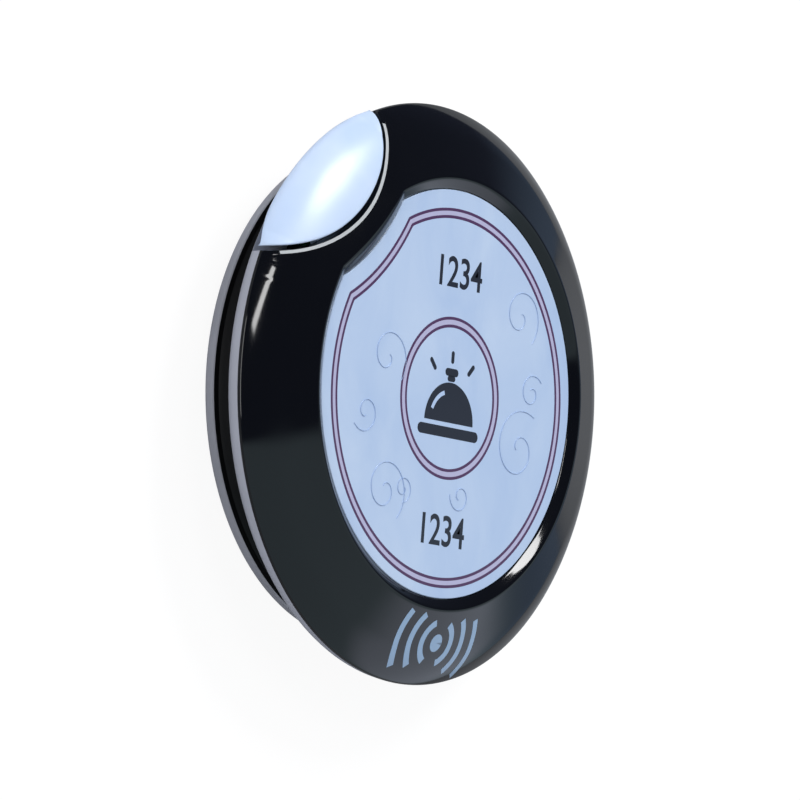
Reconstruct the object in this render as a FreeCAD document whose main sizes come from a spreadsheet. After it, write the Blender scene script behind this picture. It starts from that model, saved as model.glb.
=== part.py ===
import FreeCAD
import Part
import Sketcher
import os
import re

# A wireless waiter call button: a round, pebble-shaped puck that lies on a table.
# The frame: origin on the table under the middle of the puck, +Z up out of the face,
# +Y towards the top of the printed face. The white key sits in the rim at key_angle.
# Pieces near the key are made in the key's own frame, where +X runs from the middle of the
# puck out through the key, and are then turned by key_angle.

doc = FreeCAD.newDocument("call_button")

# Driving dimensions in millimetres, degrees where the name ends in angle
SIZES = {
    # the stack of rings that the side shows, from the table up
    "disc_radius": 29.75,
    "foot_proud": 0.5,
    "cover_band": 1.4,
    "base_band": 4.2,
    "trim_band": 2.35,
    "rim_rise": 0.15,
    "cover_foot_inset": 4.45,
    "cover_inset": 4.35,
    "cover_round": 0.6,
    "base_inset": 5.15,
    "flange_inset": 2.5,
    "trim_low_inset": 1.5,
    "trim_high_inset": 0.05,
    "trim_waist_inset": 0.3,
    "trim_waist_rise": 1.4,
    "trim_wall": 2.75,
    # the domed black top
    "rim_under": 0.3,
    "rim_edge_inset": 0.25,
    "rim_edge_rise": 0.45,
    "brow_rise": 2.47,
    "brow_inset": 3.38,
    "shoulder_rise": 2.04,
    "shoulder_inset": 2.48,
    "cheek_rise": 1.49,
    "cheek_inset": 1.66,
    "crown_rise": 4.5,
    "crown_inset": 8.55,
    "shell_wall": 1.7,
    "roof_inset": 4.55,
    "shell_floor": 1.1,
    # the printed face and its recess
    "face_rise": 3.52,
    "face_inset": 8.87,
    "face_thickness": 0.4,
    "glue_thickness": 0.1,
    "glue_inset": 0.5,
    "face_fit": 0.1,
    "slope_run": 1.05,
    "slope_rise": 0.68,
    "bite_radius": 18.2,
    "notch_border": 4.0,
    # the key in the rim
    "key_angle": 135.0,
    "key_reach": 6.75,
    "key_gap": 0.3,
    "key_proud": 0.15,
    "key_crest_inset": 7.15,
    "key_crest_rise": 4.1,
    "key_brow_inset": 4.75,
    "key_brow_rise": 3.5,
    "key_middle_inset": 2.75,
    "key_middle_rise": 2.6,
    "key_cheek_inset": 1.05,
    "key_cheek_rise": 1.35,
    "key_side_inset": 0.15,
    "key_side_rise": 0.1,
    "key_bulge_drop": 0.6,
    "key_hem_inset": 0.05,
    "key_hem_drop": 1.15,
    "key_skirt_inset": 0.2,
    "key_skirt_drop": 1.3,
    "key_wall": 1.4,
    "key_skirt_clear": 1.75,
    "key_trim_clear": 0.4,
    "key_inner_clear": 1.45,
    "key_lip_margin": 0.35,
    "key_lip_overlap": 1.4,
    "key_lip_thickness": 1.0,
    "key_lip_width": 11.6,
    "key_lip_gap": 0.1,
    "key_post_radius": 0.8,
    "key_post_reach": 1.7,
    "key_post_spread": 4.2,
    "key_post_length": 1.5,
    "key_post_fit": 0.15,
    # housing walls
    "seam_gap": 0.1,
    "cover_plate": 1.0,
    "base_wall": 1.3,
    "base_rise": 0.9,
    "flange_height": 0.6,
    "ledge_reach": 1.2,
    "ledge_height": 1.0,
    # battery, its holder and its door
    "cell_radius": 10.0,
    "cell_height": 3.2,
    "cell_cap_radius": 8.8,
    "cell_cap_height": 0.5,
    "cell_round": 0.35,
    "cell_fit": 0.3,
    "cell_lift": 0.1,
    "holder_wall": 1.3,
    "holder_height": 3.4,
    "door_margin": 2.0,
    "door_fit": 0.15,
    "door_thickness": 1.4,
    "door_ring_wall": 1.0,
    "lug_reach": 1.3,
    "lug_height": 0.7,
    "lug_gap": 0.05,
    "lug_sweep_angle": 20.0,
    "lug_notch_sweep_angle": 26.0,
    "door_locked_angle": 40.0,
    "coin_slot_length": 14.0,
    "coin_slot_width": 2.0,
    "coin_slot_depth": 0.5,
    # screws and feet
    "screw_inset": 9.75,
    "screw_radius": 1.0,
    "screw_length": 5.5,
    "screw_head_radius": 1.8,
    "screw_head_height": 0.9,
    "screw_sink": 0.8,
    "screw_fit": 0.2,
    "thread_fit": 0.03,
    "cross_width": 0.45,
    "cross_length": 2.2,
    "cross_depth": 0.5,
    "screw_seat_wall": 1.0,
    "screw_seat_height": 0.7,
    "boss_radius": 2.0,
    "board_screw_inset": 9.5,
    "board_screw_radius": 0.8,
    "board_screw_length": 2.4,
    "board_screw_head_radius": 1.5,
    "board_screw_head_height": 0.8,
    "board_boss_radius": 1.7,
    "board_screws_angle": 75.0,
    "foot_radius": 2.3,
    "foot_inset": 7.85,
    "foot_sunk": 0.4,
    "foot_round": 0.25,
    "foot_fit": 0.1,
    "feet_angle": 45.0,
    # the circuit board and what is on it
    "board_lift": 0.4,
    "board_thickness": 1.0,
    "board_fit": 0.3,
    "boss_clear": 0.3,
    "switch_gap": 0.1,
    "switch_side": 5.2,
    "switch_height": 1.25,
    "switch_pit_radius": 2.1,
    "switch_pit_depth": 0.9,
    "switch_cover_thickness": 0.25,
    "switch_cover_hole": 1.25,
    "stem_radius": 1.15,
    "stem_flange_radius": 1.8,
    "stem_flange_height": 0.35,
    "stem_flange_gap": 0.05,
    "stem_gap": 0.05,
    "snap_rise": 0.45,
    "snap_radius": 1.9,
    "snap_thickness": 0.08,
    "lead_width": 0.7,
    "lead_reach": 0.8,
    "lead_thickness": 0.2,
    "lead_pitch": 3.4,
    "chip_length": 8.6,
    "chip_width": 3.9,
    "chip_height": 1.5,
    "chip_lift": 0.1,
    "chip_y": 5.5,
    "chip_x": 3.5,
    "pin_pitch": 1.27,
    "pin_width": 0.42,
    "pin_reach": 1.0,
    "pin_rise": 0.7,
    "crystal_length": 5.0,
    "crystal_width": 3.2,
    "crystal_height": 1.2,
    "crystal_round": 0.4,
    "crystal_x": 8.0,
    "crystal_y": 0.5,
    "transmitter_length": 2.9,
    "transmitter_width": 1.5,
    "transmitter_height": 1.0,
    "transmitter_x": -1.5,
    "transmitter_y": -6.0,
    "chip_part_length": 2.0,
    "chip_part_width": 1.25,
    "chip_part_height": 0.6,
    "chip_part_pitch": 2.4,
    "resistors_x": -7.5,
    "resistors_y": 0.0,
    "capacitors_x": 3.0,
    "capacitors_y": -7.5,
    "coil_radius": 1.4,
    "coil_tube": 0.3,
    "coil_x": -6.5,
    "coil_y": -6.0,
    "coil_pitch": 0.62,
    "coil_stand_angle": 90.0,
    "antenna_inset": 12.15,
    "antenna_width": 0.8,
    "antenna_thickness": 0.1,
    "antenna_start_angle": 190.0,
    "antenna_sweep_angle": 240.0,
    "contact_thickness": 0.2,
    "contact_width": 3.0,
    "contact_length": 13.0,
    "contact_leg": 2.6,
    "contact_dimple": 0.9,
    "contact_pad": 2.6,
    # one overrun for every cut that runs out of its piece
    "overrun": 1.0,
}
SCREW_COUNT = 4
BOARD_SCREW_COUNT = 3
FOOT_COUNT = 4
LUG_COUNT = 3
PINS_PER_SIDE = 7
RESISTOR_COUNT = 4
CAPACITOR_COUNT = 4
COIL_TURNS = 3
FULL_TURN = 360.0

sheet = doc.addObject("Spreadsheet::Sheet", "Sizes")
for row, (alias, value) in enumerate(SIZES.items(), start=1):
    sheet.set(f"A{row}", alias)
    sheet.set(f"B{row}", str(value))
    sheet.setAlias(f"B{row}", alias)
doc.recompute()

Z_AXIS = FreeCAD.Vector(0, 0, 1)
Y_AXIS = FreeCAD.Vector(0, 1, 0)

# Heights and radii that several pieces share, as expressions of the driving dimensions
BACK = "(foot_proud)"
COVER_TOP = f"({BACK} + cover_band)"
BASE_TOP = f"({COVER_TOP} + base_band)"
TRIM_TOP = f"({BASE_TOP} + trim_band)"
RIM = f"({TRIM_TOP} + rim_rise)"
SHOULDER = f"({RIM} + shoulder_rise)"
CROWN = f"({RIM} + crown_rise)"
FACE = f"({RIM} + face_rise)"
GLUE_TOP = f"({FACE} - face_thickness)"
SEAT = f"({GLUE_TOP} - glue_thickness)"
CEILING = f"({SEAT} - shell_floor)"
PLATE_TOP = f"({BACK} + cover_plate)"
DOOR_TOP = f"({BACK} + door_thickness)"
CELL = f"({DOOR_TOP} + cell_lift)"
CELL_TOP = f"({CELL} + cell_height)"
BOARD = f"({BASE_TOP} + board_lift)"
BOARD_TOP = f"({BOARD} + board_thickness)"
COVER_RADIUS = "(disc_radius - cover_inset)"
BASE_RADIUS = "(disc_radius - base_inset)"
BASE_INNER = f"({BASE_RADIUS} - base_wall)"
BOARD_RADIUS = f"({BASE_INNER} - board_fit)"
FACE_RADIUS = "(disc_radius - face_inset)"
SWITCH_TOP = f"({BOARD_TOP} + switch_height)"
SWITCH_PIT = f"({SWITCH_TOP} - switch_pit_depth)"
SWITCH_ROOF = f"({SWITCH_TOP} + switch_cover_thickness)"
LIP_TOP = f"({CEILING} - key_lip_gap)"
LIP = f"({LIP_TOP} - key_lip_thickness)"
STEM_TOP = f"({LIP} - stem_gap)"
KEY_EDGE = "(disc_radius - key_reach)"
KEY_CENTRE = f"({KEY_EDGE} + bite_radius)"
NOTCH_RADIUS = "(bite_radius + notch_border)"
KEY_RADIUS = "(disc_radius + key_proud)"
SWITCH_X = f"({KEY_EDGE} - switch_gap - switch_side / 2)"
DOOR_RADIUS = "(cell_radius + door_margin)"
SCREW_CIRCLE = "(disc_radius - screw_inset)"
BOARD_SCREW_CIRCLE = "(disc_radius - board_screw_inset)"
FOOT_CIRCLE = "(disc_radius - foot_inset)"
ANTENNA_RADIUS = "(disc_radius - antenna_inset)"
LIP_END = f"({SWITCH_X} - stem_radius - key_lip_margin)"
SCREW_FACE = f"({BACK} + screw_sink)"
SCREW_SEAT = f"({SCREW_FACE} + screw_head_height)"
SEAT_TOP = f"({SCREW_SEAT} + screw_seat_height)"
WALL_TOP = f"({BASE_TOP} + base_rise)"
KEY_BOTTOM = f"({RIM} - key_skirt_drop)"


def bound(expression):
    """The same expression with every alias written as a cell of the sheet."""
    return re.sub(
        r"[a-z][a-z_]+",
        lambda found: f"Sizes.{found.group()}" if found.group() in SIZES else found.group(),
        expression,
    )


def size(expression):
    """The value of an expression, read from the sheet."""
    value = sheet.evalExpression(bound(expression))
    return float(getattr(value, "Value", value))


def bind(piece, **properties):
    """Binds properties of a piece to expressions of the sheet."""
    for name, expression in properties.items():
        piece.setExpression(name.replace("__", "."), bound(expression))
    return piece


def place(piece, x="0", y="0", z="0", turn=None, axis=Z_AXIS):
    """Puts a piece at a place given by expressions, turned about an axis."""
    bind(piece, Placement__Base__x=x, Placement__Base__y=y, Placement__Base__z=z)
    if turn is not None:
        piece.Placement.Rotation = FreeCAD.Rotation(axis, size(turn))
        bind(piece, Placement__Rotation__Angle=turn)
    return piece


def by_key(piece):
    """Turns a finished shape from the key's own frame to its place in the rim."""
    return place(piece, turn="key_angle")


def cylinder(name, radius, low, high, x="0", y="0", sweep=None, turn=None):
    piece = doc.addObject("Part::Cylinder", name)
    bind(piece, Radius=radius, Height=f"{high} - {low}")
    if sweep is not None:
        bind(piece, Angle=sweep)
    return place(piece, x, y, low, turn)


def cone(name, low_radius, high_radius, low, high, x="0"):
    piece = doc.addObject("Part::Cone", name)
    bind(piece, Radius1=low_radius, Radius2=high_radius, Height=f"{high} - {low}")
    return place(piece, x, "0", low)


def box(name, length, width, low, high, x="0", y="0"):
    """A box centred on a vertical line through x, y."""
    piece = doc.addObject("Part::Box", name)
    bind(piece, Length=length, Width=width, Height=f"{high} - {low}")
    return place(piece, f"{x} - ({length}) / 2", f"{y} - ({width}) / 2", low)


def fuse(name, *shapes):
    piece = doc.addObject("Part::MultiFuse", name)
    piece.Shapes = list(shapes)
    return piece


def common(name, *shapes):
    piece = doc.addObject("Part::MultiCommon", name)
    piece.Shapes = list(shapes)
    return piece


def group(name, *shapes):
    """Separate solids that share one node."""
    piece = doc.addObject("Part::Compound", name)
    piece.Links = list(shapes)
    return piece


def cut(name, base, *tools):
    piece = doc.addObject("Part::Cut", name)
    piece.Base = base
    piece.Tool = tools[0] if len(tools) == 1 else fuse(name + "_tools", *tools)
    return piece


def ring(name, outer, inner, low, high, x="0", y="0"):
    hole = cylinder(name + "_hole", inner, f"({low} - overrun)", f"({high} + overrun)", x, y)
    return cut(name, cylinder(name + "_disc", outer, low, high, x, y), hole)


def around(count, radius, first="0"):
    """Places on a circle: pairs of x and y expressions, evenly spaced from the first angle."""
    places = []
    for step in range(count):
        angle = f"({first} + {FULL_TURN * step / count})"
        places.append((f"{radius} * cos({angle})", f"{radius} * sin({angle})"))
    return places


def rounded(name, base, radius, wanted):
    """Rounds the edges of a base that the test picks."""
    doc.recompute()
    reach = size(radius)
    edges = [
        (number, reach, reach)
        for number, edge in enumerate(base.Shape.Edges, start=1)
        if wanted(edge)
    ]
    if not edges:
        raise RuntimeError(f"{name} found no edge to round")
    piece = doc.addObject("Part::Fillet", name)
    piece.Base = base
    piece.Edges = edges
    doc.recompute()
    return piece


def circle_at(radius, height):
    """A test for a level circular edge of one radius at one height."""
    near = size("seam_gap") / 2

    def wanted(edge):
        return (
            isinstance(edge.Curve, Part.Circle)
            and abs(edge.Curve.Radius - size(radius)) < near
            and abs(edge.BoundBox.ZMax - size(height)) < near
            and edge.BoundBox.ZLength < near
        )

    return wanted


def turned(name, corners):
    """A body turned about Z from a closed outline of (radius, height) expressions."""
    body = doc.addObject("PartDesign::Body", name)
    plane = next(o for o in body.Origin.OriginFeatures if o.Role == "XZ_Plane")
    sketch = body.newObject("Sketcher::SketchObject", name + "_outline")
    sketch.AttachmentSupport = [(plane, "")]
    sketch.MapMode = "FlatFace"
    points = [FreeCAD.Vector(size(radius), size(height), 0) for radius, height in corners]
    count = len(points)
    for number, start in enumerate(points):
        sketch.addGeometry(Part.LineSegment(start, points[(number + 1) % count]), False)
    for number in range(count):
        sketch.addConstraint(Sketcher.Constraint("Coincident", number, 2, (number + 1) % count, 1))
    for number, (radius, height) in enumerate(corners):
        if radius == "0":
            sketch.addConstraint(Sketcher.Constraint("PointOnObject", number, 1, -2))
        else:
            across = Sketcher.Constraint("DistanceX", -1, 1, number, 1, points[number].x)
            place_in = sketch.addConstraint(across)
            sketch.setExpression(f"Constraints[{place_in}]", bound(radius))
        upright = Sketcher.Constraint("DistanceY", -1, 1, number, 1, points[number].y)
        place_in = sketch.addConstraint(upright)
        sketch.setExpression(f"Constraints[{place_in}]", bound(height))
    solid = body.newObject("PartDesign::Revolution", name + "_turned")
    solid.Profile = sketch
    solid.ReferenceAxis = (sketch, ["V_Axis"])
    solid.Angle = FULL_TURN
    body.Tip = solid
    doc.recompute()
    return body


def key_cylinder(name, radius, low, high):
    """An upright cylinder about the centre of the key's inner arc, in the puck's frame."""
    return by_key(group(name + "_turned", cylinder(name, radius, low, high, KEY_CENTRE)))


# Black top: one moulding with the dome, the floor under the face and the bosses
dome_outline = [
    ("0", CROWN),
    ("(disc_radius - crown_inset)", CROWN),
    ("(disc_radius - brow_inset)", f"({RIM} + brow_rise)"),
    ("(disc_radius - shoulder_inset)", SHOULDER),
    ("(disc_radius - cheek_inset)", f"({RIM} + cheek_rise)"),
    ("(disc_radius - rim_edge_inset)", f"({RIM} + rim_edge_rise)"),
    ("disc_radius", RIM),
    ("(disc_radius - rim_under)", TRIM_TOP),
    ("0", TRIM_TOP),
]
dome = turned("dome", dome_outline)
hollow_outline = [
    ("0", CEILING),
    ("(disc_radius - roof_inset)", CEILING),
    ("(disc_radius - rim_under - shell_wall)", RIM),
    ("(disc_radius - rim_under - shell_wall)", f"({TRIM_TOP} - overrun)"),
    ("0", f"({TRIM_TOP} - overrun)"),
]
dome_hollow = turned("dome_hollow", hollow_outline)
SLOPE_GROWTH = "(slope_run * overrun / slope_rise)"
SLOPE_HEIGHT = f"({FACE} + slope_rise + overrun)"
recess_cone = cone(
    "recess_cone",
    f"({FACE_RADIUS} + face_fit)",
    f"({FACE_RADIUS} + face_fit + slope_run + {SLOPE_GROWTH})",
    FACE,
    SLOPE_HEIGHT,
)
notch_cone = cone(
    "notch_cone",
    f"({NOTCH_RADIUS} - face_fit)",
    f"({NOTCH_RADIUS} - face_fit - slope_run - {SLOPE_GROWTH})",
    FACE,
    SLOPE_HEIGHT,
    KEY_CENTRE,
)
recess_slope = cut("recess_slope", recess_cone, by_key(group("notch_cone_turned", notch_cone)))
recess_pocket = cut(
    "recess_pocket",
    cylinder("recess_disc", f"({FACE_RADIUS} + face_fit)", SEAT, f"({FACE} + seam_gap)"),
    key_cylinder("notch_edge", f"({NOTCH_RADIUS} - face_fit)", f"({SEAT} - overrun)", SLOPE_HEIGHT),
)
bite = key_cylinder("bite", "bite_radius", f"({TRIM_TOP} - overrun)", f"({CROWN} + overrun)")
case_bosses = [
    ring(f"case_boss_{number}", "boss_radius", "(screw_radius + thread_fit)", SEAT_TOP, CEILING, x, y)
    for number, (x, y) in enumerate(around(SCREW_COUNT, SCREW_CIRCLE))
]
board_bosses = [
    ring(
        f"board_boss_{number}",
        "board_boss_radius",
        "(board_screw_radius + thread_fit)",
        BOARD_TOP,
        CEILING,
        x,
        y,
    )
    for number, (x, y) in enumerate(
        around(BOARD_SCREW_COUNT, BOARD_SCREW_CIRCLE, "board_screws_angle")
    )
]
KEY_POST_X = f"({KEY_EDGE} - key_post_reach)"
key_posts = by_key(
    group(
        "key_posts",
        *[
            cylinder(
                f"key_post_{number}",
                "key_post_radius",
                f"({CEILING} - key_post_length)",
                CEILING,
                KEY_POST_X,
                side,
            )
            for number, side in enumerate(("key_post_spread", "-key_post_spread"))
        ],
    )
)
shell_blank = cut("shell_blank", dome, dome_hollow)
shell_body = cut("shell_body", shell_blank, recess_slope, recess_pocket, bite)
top_shell = fuse("top_shell", shell_body, *case_bosses, *board_bosses, key_posts)

# Printed face and the sheet of glue under it
face_label = cut(
    "face_label",
    cylinder("face_disc", FACE_RADIUS, GLUE_TOP, FACE),
    key_cylinder("face_notch", NOTCH_RADIUS, SEAT, f"({FACE} + overrun)"),
)
face_adhesive = cut(
    "face_adhesive",
    cylinder("glue_disc", f"({FACE_RADIUS} - glue_inset)", SEAT, GLUE_TOP),
    key_cylinder("glue_notch", f"({NOTCH_RADIUS} + glue_inset)", f"({SEAT} - overrun)", FACE),
)

# Silver trim ring between the black top and the base, lower where the key hangs over it
trim_outline = [
    (f"({BASE_RADIUS} + seam_gap)", BASE_TOP),
    ("(disc_radius - trim_low_inset)", BASE_TOP),
    ("(disc_radius - trim_waist_inset)", f"({BASE_TOP} + trim_waist_rise)"),
    ("(disc_radius - trim_high_inset)", TRIM_TOP),
    ("(disc_radius - trim_wall)", TRIM_TOP),
    ("(disc_radius - trim_wall)", WALL_TOP),
    (f"({BASE_RADIUS} + seam_gap)", WALL_TOP),
]
trim_round = turned("trim_round", trim_outline)
trim_ring = cut(
    "trim_ring",
    trim_round,
    key_cylinder(
        "trim_gap", "bite_radius", f"({KEY_BOTTOM} - key_trim_clear)", f"({TRIM_TOP} + overrun)"
    ),
)

# Black base ring: the wall the board rests in, with a flange under the trim ring
base_outline = [
    (BASE_INNER, PLATE_TOP),
    (BASE_RADIUS, PLATE_TOP),
    (BASE_RADIUS, f"({BASE_TOP} - flange_height)"),
    ("(disc_radius - flange_inset)", f"({BASE_TOP} - flange_height)"),
    ("(disc_radius - flange_inset)", BASE_TOP),
    (BASE_RADIUS, BASE_TOP),
    (BASE_RADIUS, WALL_TOP),
    (BASE_INNER, WALL_TOP),
    (BASE_INNER, BOARD),
    (f"({BASE_INNER} - ledge_reach)", BOARD),
    (f"({BASE_INNER} - ledge_reach)", f"({BOARD} - ledge_height)"),
    (BASE_INNER, f"({BOARD} - ledge_height)"),
]
base_shell = turned("base_shell", base_outline)

# Grey back cover with the door opening, its bayonet notches, screw seats and foot pockets
cover_outline = [
    ("0", BACK),
    ("(disc_radius - cover_foot_inset)", BACK),
    (COVER_RADIUS, COVER_TOP),
    (f"({BASE_RADIUS} + seam_gap)", COVER_TOP),
    (f"({BASE_RADIUS} + seam_gap)", PLATE_TOP),
    ("0", PLATE_TOP),
]
cover_blank = turned("cover_blank", cover_outline)
cover_rounded = rounded(
    "cover_rounded", cover_blank, "cover_round", circle_at("disc_radius - cover_foot_inset", BACK)
)
screw_places = around(SCREW_COUNT, SCREW_CIRCLE)
foot_places = around(FOOT_COUNT, FOOT_CIRCLE, "feet_angle")
SCREW_WELL = "(screw_head_radius + screw_fit)"
seats = [
    cylinder(f"screw_seat_{number}", f"({SCREW_WELL} + screw_seat_wall)", BACK, SEAT_TOP, x, y)
    for number, (x, y) in enumerate(screw_places)
]
wells = [
    cylinder(f"screw_well_{number}", SCREW_WELL, f"({BACK} - overrun)", SCREW_SEAT, x, y)
    for number, (x, y) in enumerate(screw_places)
]
holes = [
    cylinder(
        f"screw_hole_{number}", "(screw_radius + screw_fit)", BACK, f"({SEAT_TOP} + overrun)", x, y
    )
    for number, (x, y) in enumerate(screw_places)
]
pockets = [
    cylinder(
        f"foot_pocket_{number}",
        "(foot_radius + foot_fit)",
        f"({BACK} - overrun)",
        f"({BACK} + foot_sunk)",
        x,
        y,
    )
    for number, (x, y) in enumerate(foot_places)
]
DOOR_HOLE = f"({DOOR_RADIUS} + door_fit)"
door_hole = cylinder("door_hole", DOOR_HOLE, f"({BACK} - overrun)", f"({PLATE_TOP} + overrun)")


def sectors(name, radius, low, high, sweep, first):
    """Pie pieces of one sweep, centred on evenly spaced angles."""
    return [
        cylinder(
            f"{name}_{number}",
            radius,
            low,
            high,
            sweep=sweep,
            turn=f"{first} + {FULL_TURN * number / LUG_COUNT} - {sweep} / 2",
        )
        for number in range(LUG_COUNT)
    ]


LUG_RADIUS = f"({DOOR_RADIUS} + lug_reach)"
bayonet_notches = sectors(
    "bayonet_notch",
    f"({LUG_RADIUS} + door_fit)",
    f"({BACK} - overrun)",
    f"({PLATE_TOP} + overrun)",
    "lug_notch_sweep_angle",
    "door_locked_angle",
)
back_cover = cut(
    "back_cover",
    fuse("cover_seats", cover_rounded, *seats),
    *wells,
    *holes,
    *pockets,
    door_hole,
    *bayonet_notches,
)

# Rubber feet glued into the pockets of the cover
feet = [
    cylinder(f"foot_{number}", "foot_radius", "0", f"({BACK} + foot_sunk)", x, y)
    for number, (x, y) in enumerate(foot_places)
]
rubber_feet = rounded(
    "rubber_feet", group("foot_blanks", *feet), "foot_round", circle_at("foot_radius", "0")
)

# Battery door: a bayonet disc with a coin slot; its lugs lie over the cover's plate
LUG = f"({PLATE_TOP} + lug_gap)"
DOOR_RING_TOP = f"({LUG} + lug_height)"
door_lugs = [
    cut(
        f"door_lug_{number}",
        lug,
        cylinder(
            f"door_lug_core_{number}",
            f"({DOOR_RADIUS} - door_ring_wall)",
            BACK,
            f"({DOOR_RING_TOP} + overrun)",
        ),
    )
    for number, lug in enumerate(
        sectors("lug", LUG_RADIUS, LUG, DOOR_RING_TOP, "lug_sweep_angle", "0")
    )
]
door_ring = ring(
    "door_ring", DOOR_RADIUS, f"({DOOR_RADIUS} - door_ring_wall)", DOOR_TOP, DOOR_RING_TOP
)
battery_door = cut(
    "battery_door",
    fuse(
        "door_blank", cylinder("door_disc", DOOR_RADIUS, BACK, DOOR_TOP), door_ring, *door_lugs
    ),
    box("coin_slot", "coin_slot_length", "coin_slot_width", f"({BACK} - overrun)",
        f"({BACK} + coin_slot_depth)"),
)

# Coin cell, cap towards the board
cell_can = cylinder("cell_can", "cell_radius", CELL, f"({CELL_TOP} - cell_cap_height)")
cell_can_rounded = rounded(
    "cell_can_rounded",
    cell_can,
    "cell_round",
    lambda edge: isinstance(edge.Curve, Part.Circle),
)
coin_cell = fuse(
    "coin_cell",
    cell_can_rounded,
    cylinder("cell_cap", "cell_cap_radius", f"({CELL_TOP} - cell_cap_height)", CELL_TOP),
)

# Cell holder on the underside of the board, with a gap for the side contact
HOLDER_INNER = "(cell_radius + cell_fit)"
HOLDER = f"({BOARD} - holder_height)"
cell_holder = cut(
    "cell_holder",
    ring("holder_ring", f"({HOLDER_INNER} + holder_wall)", HOLDER_INNER, HOLDER, BOARD),
    box(
        "holder_gap",
        f"({HOLDER_INNER} + holder_wall) * 2",
        "(contact_width + cell_fit * 2)",
        f"({HOLDER} - overrun)",
        f"({BOARD} + overrun)",
        f"({HOLDER_INNER} + holder_wall)",
    ),
)
CONTACT = f"({BOARD} - contact_thickness)"
contact_minus = fuse(
    "contact_minus",
    box("minus_strip", "contact_length", "contact_width", CONTACT, BOARD),
    cylinder("minus_dimple", "contact_dimple", CELL_TOP, CONTACT),
)
contact_plus = fuse(
    "contact_plus",
    box(
        "plus_pad",
        "contact_pad",
        "contact_width",
        CONTACT,
        BOARD,
        "(cell_radius + cell_lift + contact_pad / 2)",
    ),
    box(
        "plus_leg",
        "contact_thickness",
        "contact_width",
        f"({CONTACT} - contact_leg)",
        CONTACT,
        "(cell_radius + cell_lift + contact_thickness / 2)",
    ),
)

# Circuit board on the ledge of the base ring, with clearance for the case bosses
board_tools = [
    cylinder(
        f"boss_clearance_{number}",
        "(boss_radius + boss_clear)",
        f"({BOARD} - overrun)",
        f"({BOARD_TOP} + overrun)",
        x,
        y,
    )
    for number, (x, y) in enumerate(screw_places)
]
board_screw_places = around(BOARD_SCREW_COUNT, BOARD_SCREW_CIRCLE, "board_screws_angle")
board_tools += [
    cylinder(
        f"board_screw_hole_{number}",
        "(board_screw_radius + thread_fit * 2)",
        f"({BOARD} - overrun)",
        f"({BOARD_TOP} + overrun)",
        x,
        y,
    )
    for number, (x, y) in enumerate(board_screw_places)
]
pcb = cut("pcb", cylinder("board_disc", BOARD_RADIUS, BOARD, BOARD_TOP), *board_tools)


def screw(name, radius, head_radius, head_low, seat, tip, x, y):
    """A pan-head screw that enters from below, with a cross recess in the head."""
    blank = fuse(
        name + "_blank",
        cylinder(name + "_head", head_radius, head_low, seat, x, y),
        cylinder(name + "_shank", radius, seat, tip, x, y),
    )
    slots = [
        box(name + part, length, width, f"({head_low} - overrun)", f"({head_low} + cross_depth)", x, y)
        for part, length, width in (
            ("_slot", "cross_length", "cross_width"),
            ("_cross", "cross_width", "cross_length"),
        )
    ]
    return cut(name, blank, *slots)


case_screws = group(
    "case_screws",
    *[
        screw(
            f"case_screw_{number}",
            "screw_radius",
            "screw_head_radius",
            SCREW_FACE,
            SCREW_SEAT,
            f"({SCREW_SEAT} + screw_length)",
            x,
            y,
        )
        for number, (x, y) in enumerate(screw_places)
    ],
)
board_screws = group(
    "board_screws",
    *[
        screw(
            f"board_screw_{number}",
            "board_screw_radius",
            "board_screw_head_radius",
            f"({BOARD} - board_screw_head_height)",
            BOARD,
            f"({BOARD} + board_screw_length)",
            x,
            y,
        )
        for number, (x, y) in enumerate(board_screw_places)
    ],
)

# Tactile switch under the key's lip, in the key's frame
switch_base = by_key(
    cut(
        "switch_base",
        box("switch_block", "switch_side", "switch_side", BOARD_TOP, SWITCH_TOP, SWITCH_X),
        cylinder(
            "switch_pit", "switch_pit_radius", SWITCH_PIT, f"({SWITCH_TOP} + overrun)", SWITCH_X
        ),
    )
)
switch_cover = by_key(
    cut(
        "switch_cover",
        box("cover_sheet", "switch_side", "switch_side", SWITCH_TOP, SWITCH_ROOF, SWITCH_X),
        cylinder(
            "cover_sheet_hole",
            "switch_cover_hole",
            f"({SWITCH_TOP} - overrun)",
            f"({SWITCH_ROOF} + overrun)",
            SWITCH_X,
        ),
    )
)
STEM_FLANGE_TOP = f"({SWITCH_TOP} - stem_flange_gap)"
STEM_FLANGE = f"({STEM_FLANGE_TOP} - stem_flange_height)"
switch_stem = by_key(
    fuse(
        "switch_stem",
        cylinder("stem_flange", "stem_flange_radius", STEM_FLANGE, STEM_FLANGE_TOP, SWITCH_X),
        cylinder("stem_shaft", "stem_radius", STEM_FLANGE, STEM_TOP, SWITCH_X),
    )
)
SNAP_SPHERE = "((snap_radius * snap_radius + snap_rise * snap_rise) / (2 * snap_rise))"


def snap_ball(name, radius):
    ball = doc.addObject("Part::Sphere", name)
    bind(ball, Radius=radius)
    return place(ball, SWITCH_X, "0", f"({SWITCH_PIT} + snap_rise - {SNAP_SPHERE})")


switch_dome = by_key(
    common(
        "switch_dome",
        cut(
            "snap_skin",
            snap_ball("snap_outside", SNAP_SPHERE),
            snap_ball("snap_inside", f"({SNAP_SPHERE} - snap_thickness)"),
        ),
        cylinder(
            "snap_slice", "snap_radius", SWITCH_PIT, f"({SWITCH_PIT} + snap_rise + overrun)",
            SWITCH_X,
        ),
    )
)
switch_leads = by_key(
    group(
        "switch_leads",
        *[
            box(
                f"switch_lead_{number}",
                "lead_reach",
                "lead_width",
                BOARD_TOP,
                f"({BOARD_TOP} + lead_thickness)",
                f"({SWITCH_X} - (switch_side + lead_reach) / 2)",
                y,
            )
            for number, y in enumerate(("lead_pitch / 2", "-lead_pitch / 2"))
        ],
    )
)

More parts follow.
